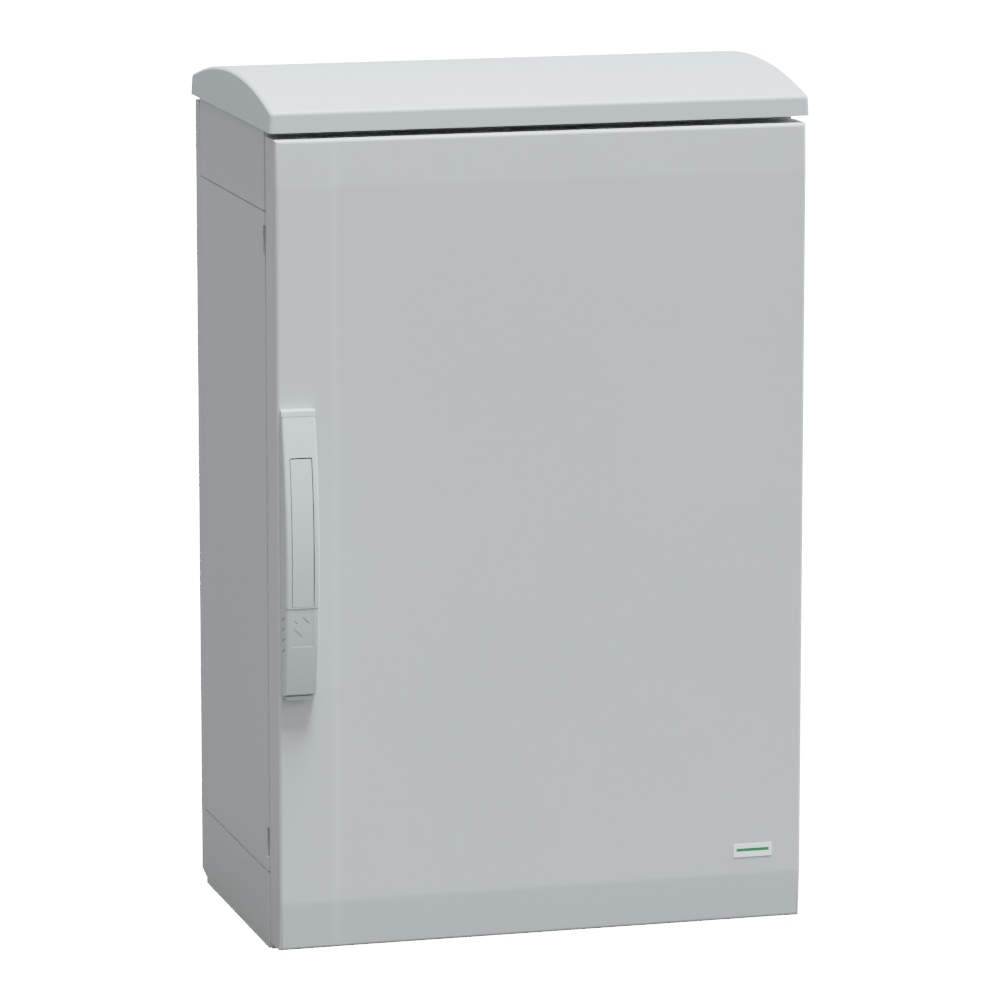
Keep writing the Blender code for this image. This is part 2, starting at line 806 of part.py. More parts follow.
def build_hinge_pin(place_name, height):
    rod(
        f"hinge_pin_{place_name}",
        (HINGE_X, HINGE_AXIS_DEPTH, height),
        HINGE_PIN_RADIUS,
        HINGE_POCKET_HEIGHT - 4 * CLEAR,
        "z",
        principled(f"hinge_pin_{place_name}_steel", (0.7, 0.7, 0.7), 0.25, 1.0),
        sides=20,
    )


def build_hinge_leaf(place_name, height):
    outer = HALF_WIDTH - WALL - CLEAR
    inner = outer - LEAF_THICKNESS
    foot_back = DOOR_DEPTH - WALL
    foot_front = WALL + 0.004
    half = LEAF_FOOT_HEIGHT / 2
    leaf = box(
        f"hinge_leaf_{place_name}",
        (inner, foot_front, height - half),
        (outer, foot_back, height + half),
        steel(f"hinge_leaf_{place_name}_steel"),
    )
    eye_half = LEAF_EYE_HEIGHT / 2
    arm = box(
        f"leaf_arm_{place_name}",
        (inner, foot_back - WALL, height - eye_half),
        (outer, HINGE_AXIS_DEPTH, height + eye_half),
    )
    eye = rod(
        f"leaf_eye_{place_name}",
        (HINGE_X, HINGE_AXIS_DEPTH, height),
        HINGE_EYE_RADIUS,
        LEAF_EYE_HEIGHT,
        "z",
    )
    bore = rod(
        f"leaf_bore_{place_name}",
        (HINGE_X, HINGE_AXIS_DEPTH, height),
        HINGE_PIN_RADIUS + CLEAR,
        2 * LEAF_EYE_HEIGHT,
        "z",
        sides=20,
    )
    join(leaf, arm, eye)
    cut(leaf, bore)


# ================================================================ swing handle
def bow(height):
    """How far the handle's front stands out from the door at a height."""
    above = height - BOW_CENTRE_Z
    radius = BOW_RADIUS_UP if above > 0 else BOW_RADIUS_DOWN
    return BOW_HEIGHT - above * above / (2 * radius)


def bow_line(low, high, inward):
    """(depth, z) points up the handle's front, set inward by a skin."""
    heights = [low + (high - low) * i / BOW_STEPS for i in range(BOW_STEPS + 1)]
    if low < BOW_CENTRE_Z < high:
        heights = sorted(heights + [BOW_CENTRE_Z])
    return [(-bow(height) + inward, height) for height in heights]


def handle_x(offset):
    return HANDLE_X + offset


def pivot_arc(extra):
    """(depth, z) points over the pivot from the handle's front to the lever's back."""
    radius = math.hypot(bow(LEVER_TOP) - PIVOT_OUT, LEVER_TOP - PIVOT_Z) + extra
    start = math.atan2(LEVER_TOP - PIVOT_Z, PIVOT_OUT - bow(LEVER_TOP))
    end = math.acos((PIVOT_OUT - LEVER_BACK) / radius)
    turns = [start + (end - start) * i / PIVOT_ARC_STEPS for i in range(PIVOT_ARC_STEPS + 1)]
    return [(radius * math.cos(turn) - PIVOT_OUT, PIVOT_Z + radius * math.sin(turn)) for turn in turns]


def bow_block(name, low, high, inward, back, half_width, material=None):
    """A block with the handle's bowed front and a flat back at a depth."""
    front = bow_line(low, high, inward)
    return outline(
        name,
        [(back, low), *front, (back, high)],
        "x",
        handle_x(-half_width),
        handle_x(half_width),
        material,
    )


def handle_screw_heights():
    return (HANDLE_BOTTOM + 0.018, SPINDLE_Z - 0.040)


def build_handle_base():
    low = LIP_TOP - LIP_THICKNESS
    base = box(
        "handle_base",
        (handle_x(-BASE_HALF_WIDTH), -PLATE_THICKNESS, low),
        (handle_x(BASE_HALF_WIDTH), -CLEAR, HANDLE_TOP),
        moulded("handle_base_moulding"),
    )
    lip = box(
        "base_lip",
        (handle_x(-LIP_HALF_WIDTH), -LIP_OUT, low),
        (handle_x(LIP_HALF_WIDTH), -CLEAR, LIP_TOP),
    )
    bolt_hole = box(
        "lip_bolt_hole",
        (handle_x(-BOLT_HALF_WIDTH - SLIDE_CLEAR), -BOLT_OUT - SLIDE_CLEAR, low - WALL),
        (handle_x(BOLT_HALF_WIDTH + SLIDE_CLEAR), -BOLT_IN + SLIDE_CLEAR, LIP_TOP + WALL),
    )
    join(base, lip)
    cut(base, bolt_hole)
    cut(
        base,
        rod("base_spindle_hole", (HANDLE_X, 0, SPINDLE_Z), SPINDLE_RADIUS + CLEAR, 4 * WALL, "y"),
    )
    for number, height in enumerate(handle_screw_heights(), 1):
        cut(base, rod(f"base_screw_hole_{number}", (HANDLE_X, 0, height), 0.0023, 0.0046, "y", sides=12))
        screw(
            f"handle_screw_{number}",
            (HANDLE_X, WALL + CLEAR, height),
            0.002,
            WALL + 0.002,
            0.004,
            0.003,
            "y",
            1,
            steel(f"handle_screw_{number}_steel"),
        )
    return base


def build_spindle():
    head_front = -LEVER_BACK - 0.003
    head = box(
        "spindle",
        (handle_x(-HEAD_HALF_WIDTH), head_front, SPINDLE_Z - 0.014),
        (handle_x(HEAD_HALF_WIDTH), -LEVER_BACK, PIVOT_Z - 0.0015),
        steel("spindle_steel"),
    )
    neck = box(
        "spindle_neck",
        (handle_x(-HEAD_HALF_WIDTH), -LEVER_BACK - 0.0015, PIVOT_Z - 0.004),
        (handle_x(HEAD_HALF_WIDTH), -LEVER_BACK, PIVOT_Z + CAP_NECK_HEIGHT),
    )
    eye = rod(
        "spindle_eye",
        (HANDLE_X, -PIVOT_OUT, PIVOT_Z),
        PIVOT_EYE_RADIUS,
        2 * HEAD_HALF_WIDTH,
        "x",
        sides=20,
    )
    shaft_end = WALL + 0.002
    shaft = rod(
        "spindle_shaft",
        (HANDLE_X, (shaft_end - LEVER_BACK - 0.001) / 2, SPINDLE_Z),
        SPINDLE_RADIUS,
        shaft_end + LEVER_BACK + 0.001,
        "y",
    )
    half = SPINDLE_SQUARE / 2
    square = box(
        "spindle_square",
        (handle_x(-half), shaft_end - 0.001, SPINDLE_Z - half),
        (handle_x(half), SPINDLE_END, SPINDLE_Z + half),
    )
    join(head, neck, eye, shaft, square)
    cut(head, rod("pivot_bore", (HANDLE_X, -PIVOT_OUT, PIVOT_Z), PIVOT_RADIUS + CLEAR, 0.03, "x", sides=16))
    return head


def build_handle_cap():
    """The bevelled top end of the handle, which clips over the spindle's neck."""
    half = HANDLE_WIDTH / 2
    under = pivot_arc(CAP_GAP)
    front = -under[0][0]
    back = -LEVER_BACK
    cap = outline(
        "handle_cap",
        [
            *reversed(under),
            (-front + CAP_BEVEL / 4, HANDLE_TOP - CAP_BEVEL),
            (-front + CAP_BEVEL, HANDLE_TOP),
            (back, HANDLE_TOP),
        ],
        "x",
        handle_x(-half),
        handle_x(half),
        moulded("handle_cap_moulding"),
    )
    slot = box(
        "cap_slot",
        (handle_x(-HEAD_HALF_WIDTH - CLEAR), -LEVER_BACK - 0.0015 - CLEAR, PIVOT_Z),
        (handle_x(HEAD_HALF_WIDTH + CLEAR), WALL, PIVOT_Z + CAP_NECK_HEIGHT + CLEAR),
    )
    cut(cap, slot)
    return cap


def build_pivot_pin():
    rod(
        "pivot_pin",
        (HANDLE_X, -PIVOT_OUT, PIVOT_Z),
        PIVOT_RADIUS,
        HANDLE_WIDTH - 0.003,
        "x",
        principled("pivot_pin_steel", (0.7, 0.7, 0.7), 0.25, 1.0),
        sides=16,
    )


def build_swing_lever():
    half = HANDLE_WIDTH / 2
    inner_half = half - LEVER_SIDE_WALL
    lever = outline(
        "swing_lever",
        [(-LEVER_BACK, LEVER_SEAM_Z), *bow_line(LEVER_SEAM_Z, LEVER_TOP, 0), *pivot_arc(0)[1:]],
        "x",
        handle_x(-half),
        handle_x(half),
        moulded("swing_lever_moulding"),
    )
    round_edges(lever, LEVER_EDGE_RADIUS, 3, is_handle_side_edge)
    floor_top = LEVER_SEAM_Z + LEVER_SKIN
    tongue = box(
        "lever_tongue",
        (handle_x(-TONGUE_HALF_WIDTH), -TONGUE_OUT, TONGUE_BOTTOM),
        (handle_x(TONGUE_HALF_WIDTH), -LEVER_BACK, floor_top - 0.0005),
    )
    join(lever, tongue)
    cut(
        lever,
        bow_block(
            "lever_hollow", floor_top, LEVER_TOP_CAVITY_Z, LEVER_SKIN, WALL, inner_half
        ),
        bow_block(
            "lever_top_hollow",
            LEVER_TOP_CAVITY_Z - 0.003,
            LEVER_TOP + WALL,
            LEVER_TOP_SKIN,
            WALL,
            inner_half,
        ),
        infill_pocket(),
        box(
            "bolt_channel",
            (handle_x(-BOLT_HALF_WIDTH - SLIDE_CLEAR), -CHAMBER_OUT, TONGUE_BOTTOM - WALL),
            (handle_x(BOLT_HALF_WIDTH + SLIDE_CLEAR), WALL, INSERT_Z),
        ),
        bolt_chamber(),
        rod("insert_bore", (HANDLE_X, -TONGUE_OUT, INSERT_Z), INSERT_RADIUS + CLEAR, 0.010, "y"),
        rod("lever_pin_bore", (HANDLE_X, -PIVOT_OUT, PIVOT_Z), PIVOT_RADIUS + CLEAR, HANDLE_WIDTH - 0.0022, "x", sides=16),
        lift_relief(),
    )
    return lever


def infill_pocket():
    low = LEVER_SEAM_Z + 0.0008
    return outline(
        "infill_pocket",
        [(-0.05, low), (-0.05, INFILL_TOP), *reversed(bow_line(low, INFILL_TOP, INFILL_POCKET))],
        "x",
        handle_x(-INFILL_HALF_WIDTH),
        handle_x(INFILL_HALF_WIDTH),
    )


def bolt_chamber():
    top = INSERT_Z + CRANK_OFFSET + BOLT_HEAD_HEIGHT / 2 + SLIDE_CLEAR
    low = INSERT_Z + CRANK_OFFSET - BOLT_HEAD_HEIGHT / 2 - BOLT_TRAVEL - SLIDE_CLEAR
    half = BOLT_HEAD_HALF_WIDTH + SLIDE_CLEAR
    return box("bolt_chamber", (handle_x(-half), -CHAMBER_OUT, low), (handle_x(half), WALL, top))


def lift_relief():
    """Takes off the lever's upper back corner, so that it clears the base plate when it is lifted."""
    reach = 0.012
    gap = PIVOT_OUT - PLATE_THICKNESS - 2 * CLEAR
    relief = box(
        "lift_relief",
        (handle_x(-HANDLE_WIDTH), -PIVOT_OUT + gap, PIVOT_Z),
        (handle_x(HANDLE_WIDTH), -PIVOT_OUT + gap + reach, PIVOT_Z + 2 * reach),
    )
    # Turned about the pivot by the lift, so that its face becomes the base plate's when the lever is out.
    offset_y = gap + reach / 2
    offset_z = reach
    cosine = math.cos(LIFT_ANGLE)
    sine = math.sin(LIFT_ANGLE)
    relief.location = (
        HANDLE_X,
        back_of(-PIVOT_OUT) + offset_y * cosine - offset_z * sine,
        PIVOT_Z + offset_y * sine + offset_z * cosine,
    )
    relief.rotation_euler = (LIFT_ANGLE, 0, 0)
    return relief


def build_lever_infill():
    low = LEVER_SEAM_Z + 0.0008 + CLEAR
    high = INFILL_TOP - INFILL_TOP_GAP
    half = INFILL_HALF_WIDTH - CLEAR - 0.0001
    behind = INFILL_POCKET - CLEAR
    back_line = bow_line(low, high, behind)
    front_line = bow_line(low, high, INFILL_RECESS)
    outline(
        "lever_infill",
        [*front_line, *reversed(back_line)],
        "x",
        handle_x(-half),
        handle_x(half),
        principled("lever_infill_moulding", (0.51, 0.54, 0.54), 0.4),
    )


def build_lock_cover():
    half = HANDLE_WIDTH / 2
    top = LEVER_SEAM_Z - 0.0007
    cover = bow_block(
        "lock_cover", HANDLE_BOTTOM, top, COVER_STEP, -LEVER_BACK, half, moulded("lock_cover_moulding")
    )
    round_edges(cover, LEVER_EDGE_RADIUS, 3, is_handle_side_edge)
    inner_half = half - LEVER_SIDE_WALL
    notch_half = inner_half + CLEAR
    cut(
        cover,
        bow_block(
            "cover_hollow", HANDLE_BOTTOM + COVER_FLOOR, top + WALL, COVER_STEP + COVER_SKIN, WALL, inner_half
        ),
        box(
            "cover_lip_notch",
            (handle_x(-notch_half), -LIP_OUT - SLIDE_CLEAR, HANDLE_BOTTOM - WALL),
            (handle_x(notch_half), WALL, HANDLE_BOTTOM + 2 * COVER_FLOOR),
        ),
    )
    return cover


def build_lock_insert():
    """A double-bar insert: flanged barrel, bar across the socket and a crank pin at the back."""
    flange_back = -TONGUE_OUT - CLEAR
    barrel_back = -CHAMBER_OUT - CLEAR
    insert = rod(
        "lock_insert",
        (HANDLE_X, (flange_back - INSERT_OUT) / 2, INSERT_Z),
        INSERT_FLANGE_RADIUS,
        flange_back + INSERT_OUT,
        "y",
        principled("lock_insert_zinc", (0.55, 0.55, 0.56), 0.3, 1.0),
    )
    barrel_front = -INSERT_OUT + 0.001
    barrel = rod(
        "insert_barrel",
        (HANDLE_X, (barrel_front + barrel_back) / 2, INSERT_Z),
        INSERT_RADIUS,
        barrel_back - barrel_front,
        "y",
    )
    crank_back = -BOLT_IN - CLEAR
    crank_front = barrel_back - 0.001
    crank = rod(
        "insert_crank",
        (handle_x(CRANK_OFFSET), (crank_front + crank_back) / 2, INSERT_Z + CRANK_OFFSET),
        CRANK_RADIUS,
        crank_back - crank_front,
        "y",
        sides=16,
    )
    socket = rod("insert_socket", (HANDLE_X, -INSERT_OUT, INSERT_Z), 0.0046, 0.006, "y", sides=20)
    bar = box(
        "insert_bar",
        (handle_x(-0.006), -INSERT_OUT - WALL, INSERT_Z - 0.0009),
        (handle_x(0.006), -INSERT_OUT + WALL, INSERT_Z + 0.0009),
    )
    cut(socket, bar)
    join(insert, barrel, crank)
    cut(insert, socket)
    return insert


def build_lock_bolt():
    middle = INSERT_Z + CRANK_OFFSET
    half_height = BOLT_HEAD_HEIGHT / 2
    bolt = box(
        "lock_bolt",
        (handle_x(-BOLT_HALF_WIDTH), -BOLT_OUT, LIP_TOP + 0.002),
        (handle_x(BOLT_HALF_WIDTH), -BOLT_IN, middle - half_height + 0.001),
        steel("lock_bolt_steel"),
    )
    head = box(
        "bolt_head",
        (handle_x(-BOLT_HEAD_HALF_WIDTH), -BOLT_OUT, middle - half_height),
        (handle_x(BOLT_HEAD_HALF_WIDTH), -BOLT_IN, middle + half_height),
    )
    slot_half = CRANK_RADIUS + SLIDE_CLEAR
    far = CRANK_OFFSET * math.sqrt(2) + slot_half
    slot = box(
        "bolt_slot",
        (handle_x(CRANK_OFFSET - slot_half), -BOLT_OUT - WALL, middle - slot_half),
        (handle_x(far), -BOLT_IN + WALL, middle + slot_half),
    )
    join(bolt, head)
    cut(bolt, slot)
    return bolt


# ================================================================ rods, rack and pinion
def tooth_half(at_pitch, height):
    """Half a tooth's thickness at a height over the pitch line."""
    return at_pitch - height * FLANK_SLOPE


def build_pinion():
    half_pitch_tooth = PITCH / 4 - GEAR_BACKLASH
    root = PITCH_RADIUS - GEAR_DEDENDUM
    tip = PITCH_RADIUS + GEAR_ADDENDUM
    points = []
    for tooth in range(GEAR_TEETH):
        angle = 2 * math.pi * tooth / GEAR_TEETH
        for radius, side in ((root, -1), (tip, -1), (tip, 1), (root, 1)):
            half = tooth_half(half_pitch_tooth, radius - PITCH_RADIUS)
            at = angle + side * half / radius
            points.append((HANDLE_X + radius * math.cos(at), SPINDLE_Z + radius * math.sin(at)))
    pinion = outline(
        "pinion", points, "y", ROD_FRONT, ROD_FRONT + ROD_DEPTH, steel("pinion_steel")
    )
    half = SPINDLE_SQUARE / 2 + CLEAR
    cut(
        pinion,
        box(
            "pinion_square",
            (handle_x(-half), ROD_FRONT - WALL, SPINDLE_Z - half),
            (handle_x(half), ROD_FRONT + ROD_DEPTH + WALL, SPINDLE_Z + half),
        ),
    )
    return pinion


def rack_points(side, direction, far_z):
    """A rod's outline with its rack: side is -1 left of the pinion, direction is the way the rod runs."""
    pitch_x = HANDLE_X + side * PITCH_RADIUS
    back_x = HANDLE_X + side * ROD_OUTER
    plain_x = back_x - side * ROD_THICKNESS
    root_x = pitch_x + side * GEAR_DEDENDUM
    tip_x = pitch_x - side * GEAR_ADDENDUM
    half = PITCH / 4 - GEAR_BACKLASH
    root_half = tooth_half(half, -GEAR_DEDENDUM)
    tip_half = tooth_half(half, GEAR_ADDENDUM)
    first = SPINDLE_Z - direction * 1.5 * PITCH
    start_z = first - direction * root_half
    points = [(back_x, start_z), (root_x, start_z)]
    for tooth in range(RACK_TEETH):
        middle = first + direction * tooth * PITCH
        points += [
            (tip_x, middle - direction * tip_half),
            (tip_x, middle + direction * tip_half),
            (root_x, middle + direction * root_half),
        ]
        if tooth < RACK_TEETH - 1:
            points.append((root_x, middle + direction * (PITCH - root_half)))
    rack_end = first + direction * ((RACK_TEETH - 1) * PITCH + root_half)
    points += [
        (root_x, rack_end + direction * 0.001),
        (plain_x, rack_end + direction * 0.002),
        (plain_x, far_z),
        (back_x, far_z),
    ]
    return points


def rod_ends():
    """The resting height of each rod's far end."""
    return DOOR_TOP - WALL - ROD_TIP_GAP, DOOR_BOTTOM + WALL + ROD_TIP_GAP


def build_rods():
    top, bottom = rod_ends()
    for name, side, direction, far_z in (
        ("rod_upper", -1, 1, top),
        ("rod_lower", 1, -1, bottom),
    ):
        outline(
            name,
            rack_points(side, direction, far_z),
            "y",
            ROD_FRONT,
            ROD_FRONT + ROD_DEPTH,
            steel(name + "_steel"),
        )


def build_rod_guides():
    places = {
        "upper_1": (-1, (SPINDLE_Z + DOOR_TOP) / 2),
        "upper_2": (-1, DOOR_TOP - GUIDE_FROM_END),
        "lower_1": (1, (SPINDLE_Z + DOOR_BOTTOM) / 2),
        "lower_2": (1, DOOR_BOTTOM + GUIDE_FROM_END),
    }
    for label, (side, height) in places.items():
        rod_back = HANDLE_X + side * ROD_OUTER
        rod_face = rod_back - side * ROD_THICKNESS
        low_x, high_x = sorted((rod_back, rod_face))
        block_low = low_x - GUIDE_WALL - SLIDE_CLEAR
        if side < 0:
            block_low = low_x - SLIDE_CLEAR / 2
        guide = box(
            f"rod_guide_{label}",
            (block_low, WALL + CLEAR, height - GUIDE_HEIGHT / 2),
            (
                high_x + GUIDE_WALL + SLIDE_CLEAR,
                ROD_FRONT + ROD_DEPTH + GUIDE_WALL,
                height + GUIDE_HEIGHT / 2,
            ),
            principled(f"rod_guide_{label}_nylon", (0.08, 0.08, 0.08), 0.5),
        )
        slot_low = low_x - SLIDE_CLEAR
        if side < 0:
            slot_low = low_x - WALL
        slot = box(
            f"guide_slot_{label}",
            (slot_low, ROD_FRONT - SLIDE_CLEAR, height - GUIDE_HEIGHT),
            (high_x + SLIDE_CLEAR, ROD_FRONT + ROD_DEPTH + SLIDE_CLEAR, height + GUIDE_HEIGHT),
        )
        cut(guide, slot)


def build_gear_case():
    """The cover over pinion and racks: open to the door's skin and to the door's edge."""
    left = -HALF_WIDTH + WALL + CLEAR
    right = HANDLE_X + ROD_OUTER + SLIDE_CLEAR + CASE_WALL
    inner_back = ROD_FRONT + ROD_DEPTH + 0.0015
    case = box(
        "gear_case",
        (left, WALL + CLEAR, SPINDLE_Z - CASE_HALF_HEIGHT),
        (right, inner_back + CASE_WALL, SPINDLE_Z + CASE_HALF_HEIGHT),
        principled("gear_case_nylon", (0.10, 0.10, 0.10), 0.5),
    )
    rod_low = HANDLE_X + ROD_OUTER - ROD_THICKNESS - SLIDE_CLEAR
    rod_high = HANDLE_X - ROD_OUTER + ROD_THICKNESS + SLIDE_CLEAR
    cut(
        case,
        box(
            "case_inside",
            (left - WALL, -WALL, SPINDLE_Z - CASE_HALF_HEIGHT + CASE_WALL),
            (right - CASE_WALL, inner_back, SPINDLE_Z + CASE_HALF_HEIGHT - CASE_WALL),
        ),
        box(
            "case_slot_upper",
            (left - WALL, ROD_FRONT - SLIDE_CLEAR, SPINDLE_Z),
            (rod_high, inner_back - CLEAR, SPINDLE_Z + 2 * CASE_HALF_HEIGHT),
        ),
        box(
            "case_slot_lower",
            (rod_low, ROD_FRONT - SLIDE_CLEAR, SPINDLE_Z - 2 * CASE_HALF_HEIGHT),
            (right - CASE_WALL, inner_back - CLEAR, SPINDLE_Z),
        ),
        rod("case_spindle_hole", (HANDLE_X, inner_back, SPINDLE_Z), 0.0064, 4 * WALL, "y"),
    )
    return case


def build_latch_cam():
    cam = rod(
        "latch_cam",
        (HANDLE_X, LATCH_CAM_DEPTH + LATCH_CAM_THICKNESS / 2, SPINDLE_Z),
        0.008,
        LATCH_CAM_THICKNESS,
        "y",
        steel("latch_cam_steel"),
    )
    join(
        cam,
        box(
            "cam_finger",
            (HANDLE_X, LATCH_CAM_DEPTH, SPINDLE_Z - 0.004),
            (HANDLE_X + LATCH_CAM_REACH, LATCH_CAM_DEPTH + LATCH_CAM_THICKNESS, SPINDLE_Z + 0.004),
        ),
    )
    half = SPINDLE_SQUARE / 2 + CLEAR
    cut(
        cam,
        box(
            "cam_square",
            (handle_x(-half), LATCH_CAM_DEPTH - WALL, SPINDLE_Z - half),
            (handle_x(half), LATCH_CAM_DEPTH + 2 * WALL, SPINDLE_Z + half),
        ),
    )
    return cam


def build_spindle_nut():
    """A star washer that holds the cam on the spindle's end."""
    front = LATCH_CAM_DEPTH + LATCH_CAM_THICKNESS + CLEAR
    nut = rod(
        "spindle_nut",
        (HANDLE_X, front + 0.001, SPINDLE_Z),
        0.0075,
        0.002,
        "y",
        principled("spindle_nut_steel", (0.6, 0.6, 0.6), 0.35, 1.0),
        sides=6,
    )
    half = SPINDLE_SQUARE / 2 + CLEAR
    cut(
        nut,
        box(
            "nut_square",
            (handle_x(-half), front - WALL, SPINDLE_Z - half),
            (handle_x(half), front + 2 * WALL, SPINDLE_Z + half),
        ),
    )
    return nut


def keeper(name, arm_x, lip_x, foot_x, low, high, lip_depth, foot_low, foot_high):
    """A bracket on the body's front flange whose lip stands in front of a rod or cam."""
    foot_back = BODY_FRONT - CLEAR
    foot = box(
        name,
        (foot_x, foot_back - KEEPER_PLATE, foot_low),
        (arm_x, foot_back, foot_high),
        steel(name + "_steel"),
    )
    arm = box(
        name + "_arm",
        (arm_x - KEEPER_PLATE, lip_depth, low),
        (arm_x, foot_back, high),
    )
    lip = box(
        name + "_lip",
        (lip_x, lip_depth, low),
        (arm_x, lip_depth + KEEPER_PLATE, high),
    )
    join(foot, arm, lip)
    return foot


def build_keepers():
    top, bottom = rod_ends()
    left_face = HANDLE_X - ROD_OUTER + ROD_THICKNESS
    right_back = HANDLE_X + ROD_OUTER
    keeper(
        "keeper_top",
        left_face + 0.002 + KEEPER_PLATE,
        left_face - 0.002,
        left_face - 0.001,
        top - 0.012,
        top + 0.002,
        KEEPER_LIP_DEPTH,
        top - 0.022,
        top + 0.002,
    )
    keeper(
        "keeper_bottom",
        right_back + 0.0015 + KEEPER_PLATE,
        right_back - 0.003,
        right_back - 0.020,
        bottom - 0.002,
        bottom + 0.012,
        KEEPER_LIP_DEPTH,
        bottom - 0.004,
        bottom + 0.022,
    )
    arm_x = HANDLE_X + LATCH_CAM_REACH + 0.0007 + KEEPER_PLATE
    keeper(
        "keeper_middle",
        arm_x,
        arm_x - 0.0075,
        arm_x - 0.022,
        SPINDLE_Z - 0.006,
        SPINDLE_Z + 0.006,
        LATCH_CAM_DEPTH - 0.0008 - KEEPER_PLATE,
        SPINDLE_Z - 0.015,
        SPINDLE_Z + 0.015,
    )


# ================================================================ inside the body
def plate_bolt_places():
    x = PLATE_WIDTH / 2 - PLATE_BOLT_INSET
    low = PLATE_BOTTOM + PLATE_BOLT_INSET
    high = PLATE_BOTTOM + PLATE_HEIGHT - PLATE_BOLT_INSET
    return [(sign * x, z) for sign in (-1, 1) for z in (low, high)]


def build_mounting_plate():
    skin = DEPTH - WALL
    plate_back = skin - STANDOFF_LENGTH
    plate = box(
        "mounting_plate",
        (-PLATE_WIDTH / 2, plate_back - MOUNTING_PLATE, PLATE_BOTTOM),
        (PLATE_WIDTH / 2, plate_back, PLATE_BOTTOM + PLATE_HEIGHT),
        principled("mounting_plate_zinc", (0.60, 0.61, 0.60), 0.35, 1.0),
    )
    for number, (x, z) in enumerate(plate_bolt_places(), 1):
        standoff = rod(
            f"plate_standoff_{number}",
            (x, (plate_back + skin) / 2, z),
            STANDOFF_RADIUS,
            STANDOFF_LENGTH - 2 * CLEAR,
            "y",
            moulded(f"plate_standoff_{number}_moulding"),
        )
        cut(standoff, rod(f"standoff_bore_{number}", (x, plate_back, z), 0.0033, 0.036, "y", sides=12))
        cut(plate, rod(f"plate_hole_{number}", (x, plate_back, z), 0.0033, 4 * WALL, "y", sides=16))
        screw(
            f"plate_bolt_{number}",
            (x, plate_back - MOUNTING_PLATE - CLEAR, z),
            0.003,
            MOUNTING_PLATE + 0.014,
            0.0055,
            0.004,
            "y",
            -1,
            steel(f"plate_bolt_{number}_steel"),
        )


def gland_rectangle(grow):
    half = HALF_WIDTH - FLOOR_FLANGE + grow
    return -half, BODY_FRONT + FLOOR_FLANGE - grow, half, BODY_BACK - FLOOR_FLANGE + grow


def gland_screw_places():
    left, front, right, back = gland_rectangle(GLAND_LAP / 2)
    return [(x, depth) for x in (left, right) for depth in (front, back)]


def build_gland_plate():
    left, front, right, back = gland_rectangle(GLAND_LAP)
    seat = FLOOR_THICKNESS + CLEAR
    gasket = box(
        "gland_gasket",
        (left, front, seat),
        (right, back, seat + GLAND_GASKET),
        rubber("gland_gasket_rubber"),
    )
    cut(
        gasket,
        box(
            "gland_gasket_hole",
            (left + GLAND_LAP, front + GLAND_LAP, -WALL),
            (right - GLAND_LAP, back - GLAND_LAP, 4 * WALL),
        ),
    )
    top = seat + GLAND_GASKET + CLEAR
    plate = box(
        "gland_plate",
        (left, front, top),
        (right, back, top + GLAND_PLATE),
        moulded("gland_plate_moulding"),
    )
    for number, (x, depth) in enumerate(gland_screw_places(), 1):
        hole = rod(f"gland_hole_{number}", (x, depth, 0), 0.0024, 0.05, "z", sides=12)
        cut(gasket, hole)
        cut(plate, hole)
        screw(
            f"gland_screw_{number}",
            (x, depth, top + GLAND_PLATE + CLEAR),
            0.002,
            GLAND_PLATE + GLAND_GASKET + 0.004,
            0.004,
            0.003,
            "z",
            1,
            steel(f"gland_screw_{number}_steel"),
        )


# ================================================================ build
def main():
    global PARTS, CUTTERS
    clear_scene()
    PARTS = new_collection(PARTS_NAME)
    CUTTERS = new_collection("cutters")
    build_base_module()
    build_side_panels()
    build_roof_module()
    build_back_panel()
    build_rain_canopy()
    build_mounting_plate()
    build_gland_plate()
    build_hinges()
    build_keepers()
    build_door_shell()
    build_door_gasket()
    build_name_plate()
    build_handle_base()
    build_spindle()
    build_handle_cap()
    build_pivot_pin()
    build_swing_lever()
    build_lever_infill()
    build_lock_cover()
    build_lock_insert()
    build_lock_bolt()
    build_pinion()
    build_rods()
    build_rod_guides()
    build_gear_case()
    build_latch_cam()
    build_spindle_nut()


main()
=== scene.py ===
"""Looks of a free-standing moulded cabinet with an arched rain canopy and a swing-handle door.

Every piece is drawn in the row frame, in metres: +Z up, the door facing -Y.
"""

import json
import logging
import math
from dataclasses import dataclass
from enum import Enum
from typing import Callable, Iterable, Sequence

import bmesh
import bpy
from mathutils import Matrix, Vector

